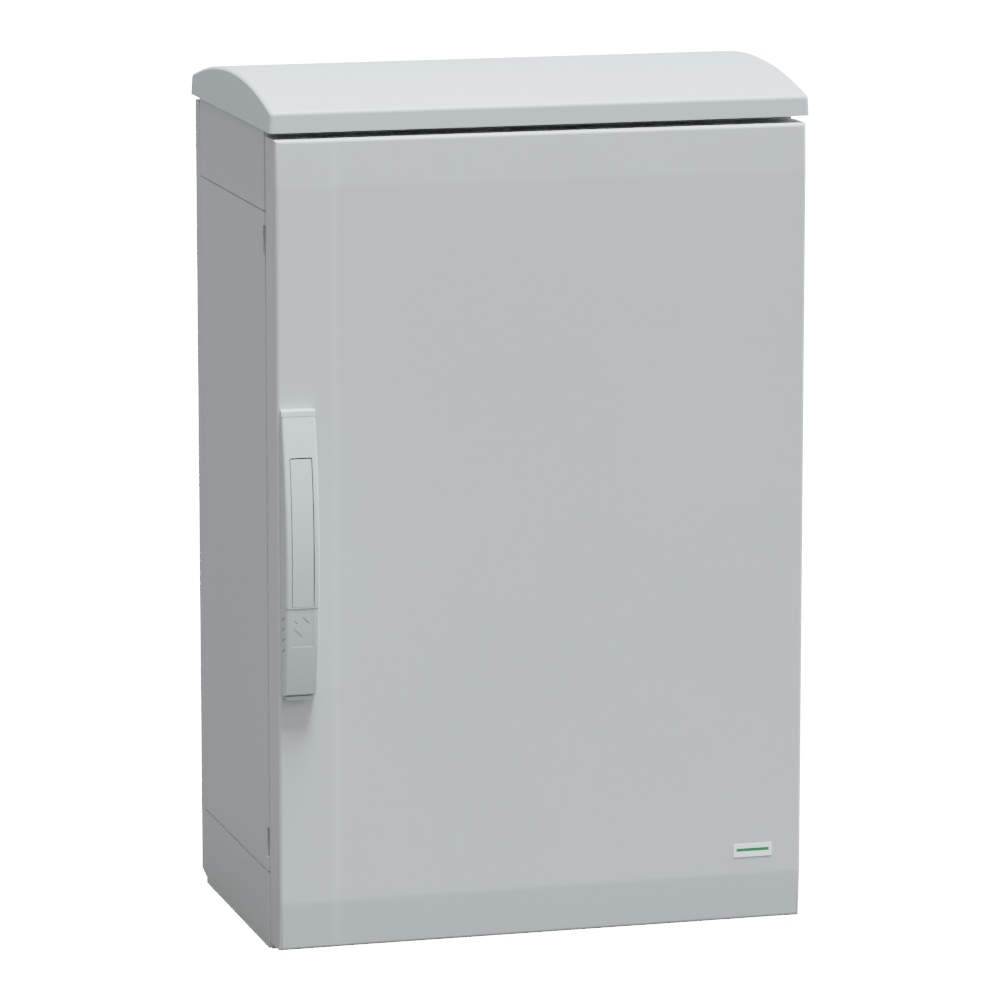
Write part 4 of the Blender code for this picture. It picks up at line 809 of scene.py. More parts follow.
# ------------------------------------------------------------------ the body
@dataclass
class CabinetBody:
    """Base, side panels, roof and back panel, with soft moulded edges at every seam."""

    wall: float = 0.004
    corner: float = 0.0012
    rebate: Point = (0.0026, 0.0036)
    jamb: float = 0.052
    head_rail: float = 0.036
    sill_rail: float = 0.040
    rear_flange: float = 0.024
    rear_rail: float = 0.030
    floor: float = 0.005
    floor_flange: float = 0.045
    ring_corner: float = 0.003
    anchor_hole: float = 0.006
    gland_hole: float = 0.0024
    pocket_width: float = 0.014
    pocket_depth: float = 0.0082
    pocket_height: float = 0.0276
    edge: float = 0.0005
    stiffener: float = 0.0025
    stiffener_height: float = 0.006
    stiffener_inset: float = 0.03
    inner_corner: float = 0.001
    back_top_gap: float = 0.0022
    back_foot: float = 0.005
    back_corner: float = 0.003

    def build(self) -> None:
        """Builds every moulding of the body."""
        self.roof()
        self.base()
        self.side("left", -1)
        self.side("right", 1)
        self.back_panel()

    def module(self, node: str) -> tuple[Shape, Vector, Vector]:
        """A module's outer block with a shadow rebate down both front corners.

        Args:
            node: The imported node's name.

        Returns:
            The block, with its lowest and highest corners.
        """
        low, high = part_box(node)
        rebate_x, rebate_y = self.rebate
        outline = [
            (low.x + rebate_x, low.y),
            (high.x - rebate_x, low.y),
            (high.x - rebate_x, low.y + rebate_y),
            (high.x, low.y + rebate_y),
            (high.x, high.y),
            (low.x, high.y),
            (low.x, low.y + rebate_y),
            (low.x + rebate_x, low.y + rebate_y),
        ]
        radii = [0, 0, 0, self.corner, 0, 0, self.corner, 0]
        return Shape.prism(Axis.Z, fillet(outline, radii), low.z, high.z), low, high

    def roof(self) -> None:
        """The module under the canopy: four walls and a closed top."""
        module, low, high = self.module("roof_module")
        wall = self.wall
        module.cut(
            Shape.block(
                (low.x + wall, low.y + wall, low.z - wall),
                (high.x - wall, high.y - wall, high.z - wall),
            ),
            Shape.block(
                (low.x + self.jamb, low.y - wall, low.z - wall),
                (high.x - self.jamb, low.y + 2 * wall, high.z - self.head_rail),
            ),
            Shape.block(
                (low.x + self.rear_flange, high.y - 2 * wall, low.z - wall),
                (high.x - self.rear_flange, high.y + wall, high.z - self.rear_rail),
            ),
        )
        for number in range(1, 5):
            middle = middle_of(f"canopy_screw_{number}")
            centre = (middle.x, middle.y, high.z)
            module.cut(Shape.bar(Axis.Z, centre, CANOPY_HOLE, 4 * wall, SMALL_SIDES))
        module.soften(self.edge)
        module.done("roof_moulding", BODY_SKIN, Body.CABINET, ["roof_module"])

    def base(self) -> None:
        """The module on the ground, with a floor ring for anchors and cables."""
        module, low, high = self.module("base_module")
        wall = self.wall
        ring = self.floor_flange
        module.cut(
            Shape.block(
                (low.x + wall, low.y + wall, self.floor),
                (high.x - wall, high.y - wall, high.z + wall),
            ),
            Shape.block(
                (low.x + self.jamb, low.y - wall, self.sill_rail),
                (high.x - self.jamb, low.y + 2 * wall, high.z + wall),
            ),
            Shape.block(
                (low.x + self.rear_flange, high.y - 2 * wall, self.rear_rail),
                (high.x - self.rear_flange, high.y + wall, high.z + wall),
            ),
            Shape.prism(
                Axis.Z,
                oblong((low.x + ring, low.y + ring), (high.x - ring, high.y - ring), self.ring_corner),
                -wall,
                2 * wall,
            ),
        )
        for x in (low.x + ring / 2, high.x - ring / 2):
            for y in (low.y + ring / 2, high.y - ring / 2):
                module.cut(Shape.bar(Axis.Z, (x, y, 0), self.anchor_hole, 4 * wall))
        for number in range(1, 5):
            middle = middle_of(f"gland_screw_{number}")
            centre = (middle.x, middle.y, 0)
            module.cut(Shape.bar(Axis.Z, centre, self.gland_hole, 4 * wall, SMALL_SIDES))
        module.soften(self.edge)
        module.done("base_moulding", BODY_SKIN, Body.CABINET, ["base_module"])

    def side(self, name: str, sign: int) -> None:
        """A side panel with its flanges, hinge pockets and three inside stiffeners.

        Args:
            name: The side's name.
            sign: Minus one for the left, plus one for the right.
        """
        node = f"side_panel_{name}"
        low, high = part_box(node)
        outer = high.x if sign > 0 else low.x
        wall = sign * self.wall
        jamb = outer - sign * self.jamb
        flange = outer - sign * self.rear_flange
        rebate_x, rebate_y = self.rebate
        corners = [
            (jamb, low.y),
            (outer - sign * rebate_x, low.y),
            (outer - sign * rebate_x, low.y + rebate_y),
            (outer, low.y + rebate_y),
            (outer, high.y),
            (flange, high.y),
            (flange, high.y - self.wall),
            (outer - wall, high.y - self.wall),
            (outer - wall, low.y + self.wall),
            (jamb, low.y + self.wall),
        ]
        inner = self.inner_corner
        outline = fillet(corners, [0, 0, 0, self.corner, 0, 0, 0, inner, inner, 0])
        panel = Shape.prism(Axis.Z, outline, low.z, high.z)
        for hinge in ("lower", "upper"):
            middle = middle_of(f"hinge_pin_{hinge}").z
            near_x, far_x = sorted((outer - sign * self.pocket_width, outer + wall))
            panel.cut(
                Shape.block(
                    (near_x, low.y - self.wall, middle - self.pocket_height / 2),
                    (far_x, low.y + self.pocket_depth, middle + self.pocket_height / 2),
                )
            )
        for share in (0.25, 0.5, 0.75):
            height = low.z + (high.z - low.z) * share
            inner_x, buried_x = sorted(
                (outer - wall - sign * self.stiffener_height, outer - wall / 2)
            )
            panel.join(
                Shape.block(
                    (inner_x, low.y + self.stiffener_inset, height - self.stiffener / 2),
                    (buried_x, high.y - self.stiffener_inset, height + self.stiffener / 2),
                )
            )
        panel.soften(self.edge)
        panel.done(f"side_moulding_{name}", BODY_SKIN, Body.CABINET, [node])

    def back_panel(self) -> None:
        """The back tray: rounded rear edges, a drawn-back top and a slanted bottom."""
        low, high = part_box("back_panel")
        seam_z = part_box("side_panel_left")[1].z
        top_gap = self.back_top_gap
        profile = [
            (low.y, low.z),
            (high.y, low.z + self.back_foot),
            (high.y, high.z),
            (low.y + top_gap + 0.002, high.z),
            (low.y + top_gap, high.z - 0.003),
            (low.y, seam_z),
        ]
        panel = Shape.prism(Axis.X, profile, low.x, high.x)
        panel.round(self.back_corner, 4, lambda a, b: near(a.y, high.y) and near(b.y, high.y))
        wall = self.wall
        panel.cut(
            Shape.block(
                (low.x + wall, low.y - wall, low.z + self.back_foot + wall),
                (high.x - wall, high.y - wall, high.z - wall),
            )
        )
        for share in (0.2, 0.4, 0.6, 0.8):
            height = low.z + (high.z - low.z) * share
            panel.join(
                Shape.block(
                    (low.x + 2 * wall, high.y - wall - self.stiffener_height, height - self.stiffener / 2),
                    (high.x - 2 * wall, high.y - wall / 2, height + self.stiffener / 2),
                )
            )
        panel.soften(self.edge)
        panel.done("back_moulding", BODY_SKIN, Body.CABINET, ["back_panel"])


@dataclass
class RainCanopy:
    """The arched hood: a thin shell with well rounded rims and four screw bosses."""

    fascia: float = 0.0190
    draft: float = 0.0024
    wall: float = 0.003
    rim_radius: float = 0.0034
    rim_steps: int = 5
    arc_steps: int = 56
    boss_radius: float = 0.0065
    bore_length: float = 0.026
    edge: float = 0.0004

    def arch(self, low: Vector, high: Vector, inset: float) -> list[Point]:
        """Points over the arch from the back edge to the front edge.

        Args:
            low: Lowest corner of the canopy.
            high: Highest corner.
            inset: How far the arch is drawn in from the outside.

        Returns:
            Points as depth and height.
        """
        eaves = low.z + self.fascia - inset
        rise = high.z - low.z - self.fascia
        half = (high.y - low.y) / 2 - inset
        radius = (half * half + rise * rise) / (2 * rise)
        middle = (low.y + high.y) / 2
        reach = math.asin(half / radius)
        turns = [reach * (1 - 2 * step / self.arc_steps) for step in range(self.arc_steps + 1)]
        centre = eaves + rise - radius
        return [(middle + radius * math.sin(t), centre + radius * math.cos(t)) for t in turns]

    def build(self) -> None:
        """Builds the hood."""
        low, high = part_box("rain_canopy")
        wall = self.wall
        outline = [(low.y, low.z), (high.y, low.z), *self.arch(low, high, 0)]
        ends = (low.x + self.draft, high.x - self.draft)
        hood = Shape.prism(Axis.X, outline, *ends)
        hood.round(self.rim_radius, self.rim_steps, lambda a, b: self.is_rim(a, b, ends, low.z))
        hood.widen(self.draft, high.z, low.z)
        inside = [
            (low.y + wall, low.z - wall),
            (high.y - wall, low.z - wall),
            *self.arch(low, high, wall),
        ]
        hollow = Shape.prism(Axis.X, inside, ends[0] + wall, ends[1] - wall)
        hood.cut(hollow.widen(self.draft, high.z, low.z))
        for number in range(1, 5):
            middle = middle_of(f"canopy_screw_{number}")
            offset = (middle.y - (low.y + high.y) / 2) / ((high.y - low.y) / 2)
            crown = high.z - (high.z - low.z - self.fascia) * offset * offset - wall / 2
            centre = (middle.x, middle.y, (low.z + crown) / 2)
            hood.join(Shape.bar(Axis.Z, centre, self.boss_radius, crown - low.z))
            centre = (middle.x, middle.y, low.z)
            hood.cut(Shape.bar(Axis.Z, centre, CANOPY_HOLE, self.bore_length, SMALL_SIDES))
        hood.soften(self.edge)
        hood.done("canopy_hood", CANOPY_SKIN_WITH_PAINTED_HIGHLIGHT, Body.CABINET, ["rain_canopy"])

    def is_rim(self, a: Vector, b: Vector, ends: Point, rim: float) -> bool:
        """True for the outside edges of the hood, apart from the ones under it.

        Args:
            a: One end of the edge.
            b: Its other end.
            ends: Where the hood's two ends lie in x.
            rim: Height of the rim.

        Returns:
            Whether the edge is rounded.
        """
        if near(a.z, rim) and near(b.z, rim):
            return False
        at_end = near(a.x, b.x) and (near(a.x, ends[0]) or near(a.x, ends[1]))
        eaves = rim + self.fascia
        at_eaves = near(a.z, eaves) and near(b.z, eaves) and near(a.y, b.y)
        return at_end or at_eaves


# ------------------------------------------------------------------ the door
@dataclass
class DoorLeaf:
    """The door tray: a flat field with creased bands, a stile ramp, a seal rib and stiffeners."""

    wall: float = 0.004
    edge_radius: float = 0.0035
    top_band: float = 0.0431
    bottom_band: float = 0.0450
    top_fall: float = 0.0016
    bottom_fall: float = 0.0032
    crease: float = 0.003
    ramp_start: float = 0.0485
    ramp_width: float = 0.0115
    ramp_fall: float = 0.0007
    ramp_steps: int = 8
    rib_outside: float = 0.0395
    rib_width: float = 0.012
    rib_wall: float = 0.0027
    rib_back: float = 0.0360
    rib_top: float = 0.016
    rib_bottom: float = 0.017
    stiffener: float = 0.0025
    stiffener_height: float = 0.007
    rib_corner: float = 0.010
    spindle_hole: float = 0.0053
    screw_hole: float = 0.0023
    seal_play: float = 0.0003
    seal_crown: float = 0.0018
    edge: float = 0.0004

    def build(self) -> None:
        """Builds the door, its seal and its plate."""
        self.tray()
        self.seal()
        NamePlate().build()

    def profile(self, low: Vector, high: Vector) -> list[Point]:
        """The door's side outline, with the creases between field and bands eased.

        Args:
            low: Lowest corner of the door.
            high: Highest corner.

        Returns:
            Points as depth and height.
        """
        front = low.y
        corners = [
            (front + self.bottom_fall, low.z),
            (high.y, low.z),
            (high.y, high.z),
            (front + self.top_fall, high.z),
            (front, high.z - self.top_band),
            (front, low.z + self.bottom_band),
        ]
        eased: list[Point] = corners[:4]
        top_slope = self.top_fall / self.top_band
        bottom_slope = self.bottom_fall / self.bottom_band
        eased.append((front + top_slope * self.crease, high.z - self.top_band + self.crease))
        eased.append((front, high.z - self.top_band - self.crease))
        eased.append((front, low.z + self.bottom_band + self.crease))
        eased.append((front + bottom_slope * self.crease, low.z + self.bottom_band - self.crease))
        return eased

    def tray(self) -> None:
        """The moulded tray itself."""
        low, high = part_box("door_shell")
        profile = self.profile(low, high)
        rows = []
        for x, fall in self.ramp(low.x, high.x):
            rows.append([(x, y + (0 if near(y, high.y) else fall), z) for y, z in profile])
        tray = Shape.loft(rows)
        tray.round(self.edge_radius, 6, lambda a, b: self.is_front_rim(a, b, low, high))
        wall = self.wall
        tray.cut(
            Shape.block(
                (low.x + wall, low.y + wall, low.z + wall),
                (high.x - wall, high.y + wall, high.z - wall),
            )
        )
        tray.join(self.rib(low, high))
        tray.cut(self.groove(low, high))
        for part in self.stiffeners(low, high):
            tray.join(part)
        centre = middle_of("pinion")
        tray.cut(Shape.bar(Axis.Y, (centre.x, low.y, centre.z), self.spindle_hole, 6 * wall))
        for number in (1, 2):
            middle = middle_of(f"handle_screw_{number}")
            centre = (middle.x, low.y, middle.z)
            tray.cut(Shape.bar(Axis.Y, centre, self.screw_hole, 6 * wall, SMALL_SIDES))
        tray.soften(self.edge)
        tray.done("door_tray", BODY_SKIN, Body.DOOR, ["door_shell"])

    def is_front_rim(self, a: Vector, b: Vector, low: Vector, high: Vector) -> bool:
        """True for the edges around the door's face.

        Args:
            a: One end of the edge.
            b: Its other end.
            low: Lowest corner of the door.
            high: Highest corner.

        Returns:
            Whether the edge is rounded.
        """
        if max(a.y, b.y) > (low.y + high.y) / 2:
            return False
        at_side = near(a.x, b.x) and (near(a.x, low.x) or near(a.x, high.x))
        at_end = near(a.z, b.z) and (near(a.z, low.z) or near(a.z, high.z))
        return at_side or at_end

    def ramp(self, left: float, right: float) -> list[Point]:
        """Places across the door with how far the face has fallen there, as (x, fall).

        Args:
            left: Where the door starts in x.
            right: Where it ends.

        Returns:
            The places in order.
        """
        start = left + self.ramp_start
        places = [(left, 0.0)]
        for step in range(self.ramp_steps + 1):
            share = step / self.ramp_steps
            fall = self.ramp_fall * (1 - math.cos(math.pi * share)) / 2
            places.append((start + self.ramp_width * share, fall))
        return [*places, (right, self.ramp_fall)]

    def rib_corners(self, low: Vector, high: Vector, margin: float) -> tuple[Point, Point]:
        """Corners of the seal rib's rectangle, as x and z, drawn in by a margin.

        Args:
            low: Lowest corner of the door.
            high: Highest corner.
            margin: How far it is drawn in.

        Returns:
            Its lower left and upper right corners.
        """
        side = self.rib_outside + margin
        return (
            (low.x + side, low.z + self.rib_bottom + margin),
            (high.x - side, high.z - self.rib_top - margin),
        )

    def rounded_ring(self, low: Vector, high: Vector, margins: Point, start: float, end: float) -> Shape:
        """A rectangular ring with rounded corners.

        Args:
            low: Lowest corner of the door.
            high: Highest corner.
            margins: The ring's outer and inner margin from the rib's outside.
            start: Where it starts in depth.
            end: Where it ends.

        Returns:
            The ring.
        """
        outer, inner = margins
        radius = self.rib_corner
        ring = Shape.prism(Axis.Y, oblong(*self.rib_corners(low, high, outer), radius), start, end)
        hole = oblong(*self.rib_corners(low, high, inner), max(radius - inner + outer, 0.001))
        return ring.cut(Shape.prism(Axis.Y, hole, start - BEYOND, end + BEYOND))

    def rib(self, low: Vector, high: Vector) -> Shape:
        """The raised rib that holds the seal."""
        start = low.y + self.wall - 0.001
        return self.rounded_ring(low, high, (0, self.rib_width), start, low.y + self.rib_back)

    def groove(self, low: Vector, high: Vector) -> Shape:
        """The groove in the rib.

        Args:
            low: Lowest corner of the door.
            high: Highest corner.

        Returns:
            The solid to cut away.
        """
        seal_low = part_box("door_gasket")[0]
        margins = (self.rib_wall, self.rib_width - self.rib_wall)
        return self.rounded_ring(low, high, margins, seal_low.y - 0.0003, high.y + self.wall)

    def stiffeners(self, low: Vector, high: Vector) -> list[Shape]:
        """Ribs across the inside of the door's field.

        Args:
            low: Lowest corner of the door.
            high: Highest corner.

        Returns:
            One bar for each rib.
        """
        (left, bottom), (right, top) = self.rib_corners(low, high, self.rib_width / 2)
        start = low.y + self.wall / 2
        end = low.y + self.wall + self.stiffener_height
        half = self.stiffener / 2
        bars = []
        for share in (0.2, 0.4, 0.6, 0.8):
            height = bottom + (top - bottom) * share
            bars.append(Shape.block((left, start, height - half), (right, end, height + half)))
        for share in (1 / 3, 2 / 3):
            x = left + (right - left) * share
            bars.append(Shape.block((x - half, start + 0.0003, bottom), (x + half, end - 0.0006, top)))
        return bars

    def seal(self) -> None:
        """The rubber seal, with a rounded crown that meets the body."""
        low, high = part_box("door_shell")
        seal_low, seal_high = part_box("door_gasket")
        inner = self.rib_width - self.rib_wall - self.seal_play
        margins = (self.rib_wall + self.seal_play, inner)
        seal = self.rounded_ring(low, high, margins, seal_low.y, seal_high.y)
        seal.round(self.seal_crown, 4, lambda a, b: near(a.y, seal_high.y) and near(b.y, seal_high.y))
        seal.done("door_seal", SEAL, Body.DOOR, ["door_gasket"])


@dataclass
class NamePlate:
    """A thin blank plate with rounded corners and a faint rim."""

    corner: float = 0.0006
    rim: float = 0.0004
    recess: float = 0.00004
    sunk: float = 0.0008
    field_depth: float = 0.0007

    def build(self) -> None:
        """Builds the plate."""
        low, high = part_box("name_plate")
        face = low.y + self.sunk
        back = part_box("door_shell")[0].y + self.field_depth
        plate = Shape.prism(Axis.Y, oblong((low.x, low.z), (high.x, high.z), self.corner), face, back)
        inner = oblong(
            (low.x + self.rim, low.z + self.rim), (high.x - self.rim, high.z - self.rim), self.corner / 2
        )
        plate.cut(Shape.prism(Axis.Y, inner, low.y - 0.001, face + self.recess))
        plate.soften(0.00005)
        width = high.x - low.x
        height = high.z - low.z
        film = PrintedPlate(
            "printed_film",
            "plate_film",
            (0.95, 0.96, 0.96),
            band_low=(low.x + 0.07 * width, low.z + 0.42 * height),
            band_high=(low.x + 0.93 * width, low.z + 0.68 * height),
        )
        plate.done("blank_plate", film, Body.DOOR, ["name_plate"])


# ------------------------------------------------------------------ the handle
@dataclass
class SwingHandle:
    """The bow-shaped handle: base, cap, lever, infill and sliding lock cover."""

    bow_height: float = 0.0247
    bow_centre: float = 0.380
    radius_up: float = 0.511
    radius_down: float = 0.720
    side_radius: float = 0.0024
    side_wall: float = 0.0025
    skin: float = 0.0030
    bow_steps: int = 40
    top: float = 0.5050
    arc_steps: int = 10
    arc_growth: float = 0.0001
    infill_pocket: float = 0.0022
    infill_corner: float = 0.0018
    infill_gap: float = 0.0008
    infill_top_gap: float = 0.0015
    infill_step: float = 0.0003
    tongue_half: float = 0.0115
    tongue_out: float = 0.0095
    slot_half: float = 0.0043
    slot_out: float = 0.0080
    bolt_play: float = 0.0005
    bolt_travel: float = 0.0195
    insert_bore: float = 0.0073
    behind_play: float = 0.004
    edge: float = 0.0003
    cover_step: float = 0.0003
    cover_turn_in: float = 0.0017
    cover_rise: float = 0.00035
    patch_depth: float = 0.0002
    patch_height: float = 0.0355
    mark_half: float = 0.00045
    mark_depth: float = 0.0014
    marks: tuple[tuple[float, float, float], ...] = (
        (-0.0039, 0.0132, 0.0105),
        (0.0028, 0.0251, 0.0079),
        (-0.0063, 0.0235, 0.0032),
    )
    grip_count: int = 4
    grip_first: float = 0.0101
    grip_pitch: float = 0.0098
    grip_depth: float = 0.0012
    grip_reach: float = 0.0055
    grip_half: float = 0.0007

    def build(self) -> None:
        """Builds the handle's mouldings."""
        self.base()
        self.cap()
        self.lever()
        self.infill()
        self.cover()

    @property
    def front(self) -> float:
        """The door face's place in depth."""
        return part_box("door_shell")[0].y

    def bow(self, height: float) -> float:
        """How far the handle stands out at a height.

        Args:
            height: The height.

        Returns:
            The distance in front of the door's face.
        """
        above = height - self.bow_centre
        radius = self.radius_up if above > 0 else self.radius_down
        return self.bow_height - above * above / (2 * radius)

    def bow_outline(self, low: float, high: float, inward: float, back: float) -> list[Point]:
        """Side outline of a bowed block.

        Args:
            low: Its lower end.
            high: Its upper end.
            inward: How far its front is set inward from the handle's front.
            back: World depth of its flat back.

        Returns:
            Points as depth and height.
        """
        steps = self.bow_steps
        heights = [low + (high - low) * step / steps for step in range(steps + 1)]
        line = [(self.front - self.bow(height) + inward, height) for height in heights]
        return [(back, low), *line, (back, high)]

    def block(self, low: float, high: float, inward: float, back: float, sides: Point) -> Shape:
        """A bowed block between two side faces."""
        outline = self.bow_outline(low, high, inward, back)
        return Shape.prism(Axis.X, outline, *sides)

    def base(self) -> None:
        """The plate under the lever, kept as packed with its edges broken."""
        Shape.copy_of("handle_base").soften(0.0005, 3).done(
            "handle_base_moulding", HANDLE_SKIN, Body.DOOR, ["handle_base"]
        )

    def cap(self) -> None:
        """The rounded end above the lever."""
        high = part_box("handle_cap")[1]
        cap = Shape.copy_of("handle_cap")
        cap.round(
            0.0011, 4, lambda a, b: min(a.z, b.z) > high.z - 0.002 and max(a.y, b.y) < high.y - HAIR
        )
        cap.soften(0.00015).done("handle_end_cap", HANDLE_SKIN, Body.SWIVEL, ["handle_cap"])

    def pivot_arc(self, back: float) -> list[Point]:
        """Points over the lift pivot, from the bowed front to the lever's back.

        Args:
            back: Depth of the lever's back.

        Returns:
            Points as depth and height.
        """
        pivot = middle_of("pivot_pin")
        out = self.front - self.bow(self.top) - pivot.y
        up = self.top - pivot.z
        radius = math.hypot(out, up) + self.arc_growth
        start = math.atan2(up, out)
        end = math.acos((back - pivot.y) / radius)
        turns = [start + (end - start) * step / self.arc_steps for step in range(self.arc_steps + 1)]
        return [(pivot.y + radius * math.cos(turn), pivot.z + radius * math.sin(turn)) for turn in turns]

    def lever(self) -> None:
        """The lever: a bowed shell with rounded sides, its lock tongue and the infill's pocket."""
        low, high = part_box("swing_lever")
        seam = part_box("lock_cover")[1].z + 0.0007
        back = high.y
        lever = self.block(seam, high.z + 0.0005, 0, back, (low.x, high.x))
        lever.round(
            self.side_radius,
            5,
            lambda a, b: near(a.x, b.x) and max(a.y, b.y) < back - 0.001,
        )
        arc = self.pivot_arc(back)
        clear = high.z + BEYOND
        outside = [
            *arc,
            (back + 0.002, arc[-1][1]),
            (back + 0.002, clear),
            (self.front - OUT_FRONT, clear),
            (self.front - OUT_FRONT, self.top),
        ]
        lever.cut(Shape.prism(Axis.X, outside, low.x - BEYOND, high.x + BEYOND))
        inner = (low.x + self.side_wall, high.x - self.side_wall)
        behind = self.front + self.behind_play
        lever.cut(
            self.block(seam + self.skin, 0.488, self.skin, behind, inner),
            self.block(0.485, high.z + 0.004, 0.0018, behind, inner),
        )
        middle = (low.x + high.x) / 2
        lever.join(
            Shape.block(
                (middle - self.tongue_half, self.front - self.tongue_out, low.z),
                (middle + self.tongue_half, back, seam + 0.0025),
            )
        )
        infill_low, infill_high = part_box("lever_infill")
        pocket_sides = (infill_low.x - self.infill_gap, infill_high.x + self.infill_gap)
        gap_top = infill_high.z + self.infill_top_gap
        pocket = self.pocket(
            infill_low.z - 0.0003, gap_top, pocket_sides, self.infill_pocket, self.infill_corner
        )
        bolt_low, bolt_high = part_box("lock_bolt")
        insert = middle_of("lock_insert")
        gap_front = self.front - OUT_FRONT
        gap_foot = infill_low.z + 0.004
        play = self.bolt_play
        lever.cut(
            pocket,
            Shape.block((pocket_sides[0], gap_front, gap_foot), (infill_low.x, behind, gap_top - 0.001)),
            Shape.block((infill_high.x, gap_front, gap_foot), (pocket_sides[1], behind, gap_top - 0.001)),
            Shape.block(
                (infill_low.x + 0.001, gap_front, infill_high.z), (infill_high.x - 0.001, behind, gap_top)
            ),
            Shape.block(
                (middle - self.slot_half, self.front - self.slot_out, low.z - 0.004),
                (middle + self.slot_half, behind, insert.z),
            ),
            Shape.block(
                (bolt_low.x - play, self.front - self.slot_out, bolt_high.z - self.bolt_travel),
                (bolt_high.x + play, behind, bolt_high.z + play),
            ),
            Shape.bar(Axis.Y, (middle, self.front - self.tongue_out, insert.z), self.insert_bore, 0.010),
            self.lift_relief(low, high),
        )
        lever.soften(self.edge)
        lever.done("lever_moulding", HANDLE_SKIN, Body.LEVER, ["swing_lever"])

    def pocket(self, low: float, high: float, sides: Point, depth: float, corner: float) -> Shape:
        """What is taken out of the bowed front for a shallow pocket.

        Args:
            low: The pocket's lower end.
            high: Its upper end.
            sides: Its two sides in x.
            depth: How deep it lies under the handle's front.
            corner: Radius of its upper corners; zero keeps them sharp.

        Returns:
            The solid to cut away.
        """
        outline = [(sides[0], low), (sides[1], low), (sides[1], high), (sides[0], high)]
        rounded = fillet(outline, [0, 0, corner, corner])
        shaft = Shape.prism(Axis.Y, rounded, self.front - OUT_FRONT, self.front)
        wide = (sides[0] - BEYOND, sides[1] + BEYOND)
        return shaft.cut(self.block(low - BEYOND, high + BEYOND, depth, self.front + BEYOND, wide))

    def lift_relief(self, low: Vector, high: Vector) -> Shape:
        """What is taken off the upper back corner so that the lever can be lifted.

        Args:
            low: Lowest corner of the lever.
            high: Highest corner.

        Returns:
            The solid to cut away.
        """
        pivot = middle_of("pivot_pin")
        plate_front = self.front - 0.003
        gap = plate_front - pivot.y - 0.0006
        block = Shape.block(
            (low.x - 0.01, pivot.y + gap, pivot.z), (high.x + 0.01, pivot.y + gap + 0.012, pivot.z + 0.024)
        )
        return block.turn(math.radians(20), Axis.X, pivot)

    def infill(self) -> None:
        """The strip let into the lever, with rounded upper corners."""
        low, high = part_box("lever_infill")
        outline = [(low.x, low.z), (high.x, low.z), (high.x, high.z), (low.x, high.z)]
        inner_corner = self.infill_corner - self.infill_gap
        rounded = fillet(outline, [0, 0, inner_corner, inner_corner])
        strip = Shape.prism(Axis.Y, rounded, self.front - OUT_FRONT, self.front)
        ends = (low.z - BEYOND, high.z + BEYOND)
        sides = (low.x - BEYOND, high.x + BEYOND)
        under = self.infill_pocket - self.infill_step
        strip.cut(self.block(*ends, under, self.front + BEYOND, sides))
        outline_front = self.bow_outline(*ends, self.infill_step, self.front - OUT_FRONT - BEYOND)
        strip.cut(Shape.prism(Axis.X, outline_front, *sides))
        strip.soften(self.edge)
        strip.done("lever_strip", HANDLE_SKIN, Body.LEVER, ["lever_infill"])

    def cover(self) -> None:
        """The sliding cover over the lock: a hood with a sunk thumb patch and side grips."""
        low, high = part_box("lock_cover")
        back = high.y
        top = high.z + self.cover_rise
        cover = self.block(low.z, top, self.cover_step, back, (low.x, high.x))
        cover.round(
            self.side_radius,
            5,
            lambda a, b: near(a.x, b.x) and max(a.y, b.y) < back - 0.001,
        )
        turn = self.cover_turn_in
        level = low.z + turn
        nose = self.front - self.bow(level) + self.cover_step
        turns = [math.pi * (1 + step / 12) for step in range(7)]
        outside = [
            *((nose + turn + turn * math.cos(t), level + turn * math.sin(t)) for t in turns),
            (nose + turn, low.z - BEYOND),
            (nose - BEYOND, low.z - BEYOND),
            (nose - BEYOND, level),
        ]
        cover.cut(Shape.prism(Axis.X, outside, low.x - BEYOND, high.x + BEYOND))
        inner = (low.x + self.side_wall, high.x - self.side_wall)
        behind = self.front + self.behind_play
        cover.cut(self.block(low.z + 0.0025, high.z + 0.004, self.cover_step + 0.0022, behind, inner))
        cover.cut(
            Shape.block(
                (inner[0] - 0.0003, self.front - 0.0098, low.z - 0.004),
                (inner[1] + 0.0003, behind, low.z + 0.005),
            )
        )
        infill_low, infill_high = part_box("lever_infill")
        patch_sides = (infill_low.x, infill_high.x)
        patch_low = high.z - self.patch_height
        depth = self.cover_step + self.patch_depth
        cover.cut(self.pocket(patch_low, top + 0.001, patch_sides, depth, 0))
        cover.soften(self.edge)
        self.engrave(cover, (low.x + high.x) / 2, patch_low)
        cover.done("lock_cover_moulding", HANDLE_SKIN, Body.LOCK_COVER, ["lock_cover"])

    def engrave(self, cover: Shape, middle: float, patch_low: float) -> None:
        """Cuts short slanted grooves in the thumb patch and in both side grips.

        Args:
            cover: The cover being made.
            middle: The handle's middle in x.
            patch_low: Lower end of the thumb patch.
        """
        half = self.mark_half
        for shift, rise, length in self.marks:
            height = patch_low + rise
            depth = self.front - self.bow(height) + self.cover_step + self.patch_depth
            groove = Shape.block(
                (middle + shift - length / 2, depth - 0.001, height - half),
                (middle + shift + length / 2, depth + self.mark_depth, height + half),
            )
            cover.cut(groove.turn(math.radians(45), Axis.Y, (middle + shift, depth, height)))
        low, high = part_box("lock_cover")
        depth = self.front - 0.0120
        for side_x in (low.x, high.x):
            for step in range(self.grip_count):
                height = high.z - self.grip_first - self.grip_pitch * step
                groove = Shape.block(
                    (side_x - self.grip_depth, depth - self.grip_reach, height - self.grip_half),
                    (side_x + self.grip_depth, depth + self.grip_reach, height + self.grip_half),
                )
                cover.cut(groove.turn(math.radians(-24), Axis.X, (side_x, depth, height)))


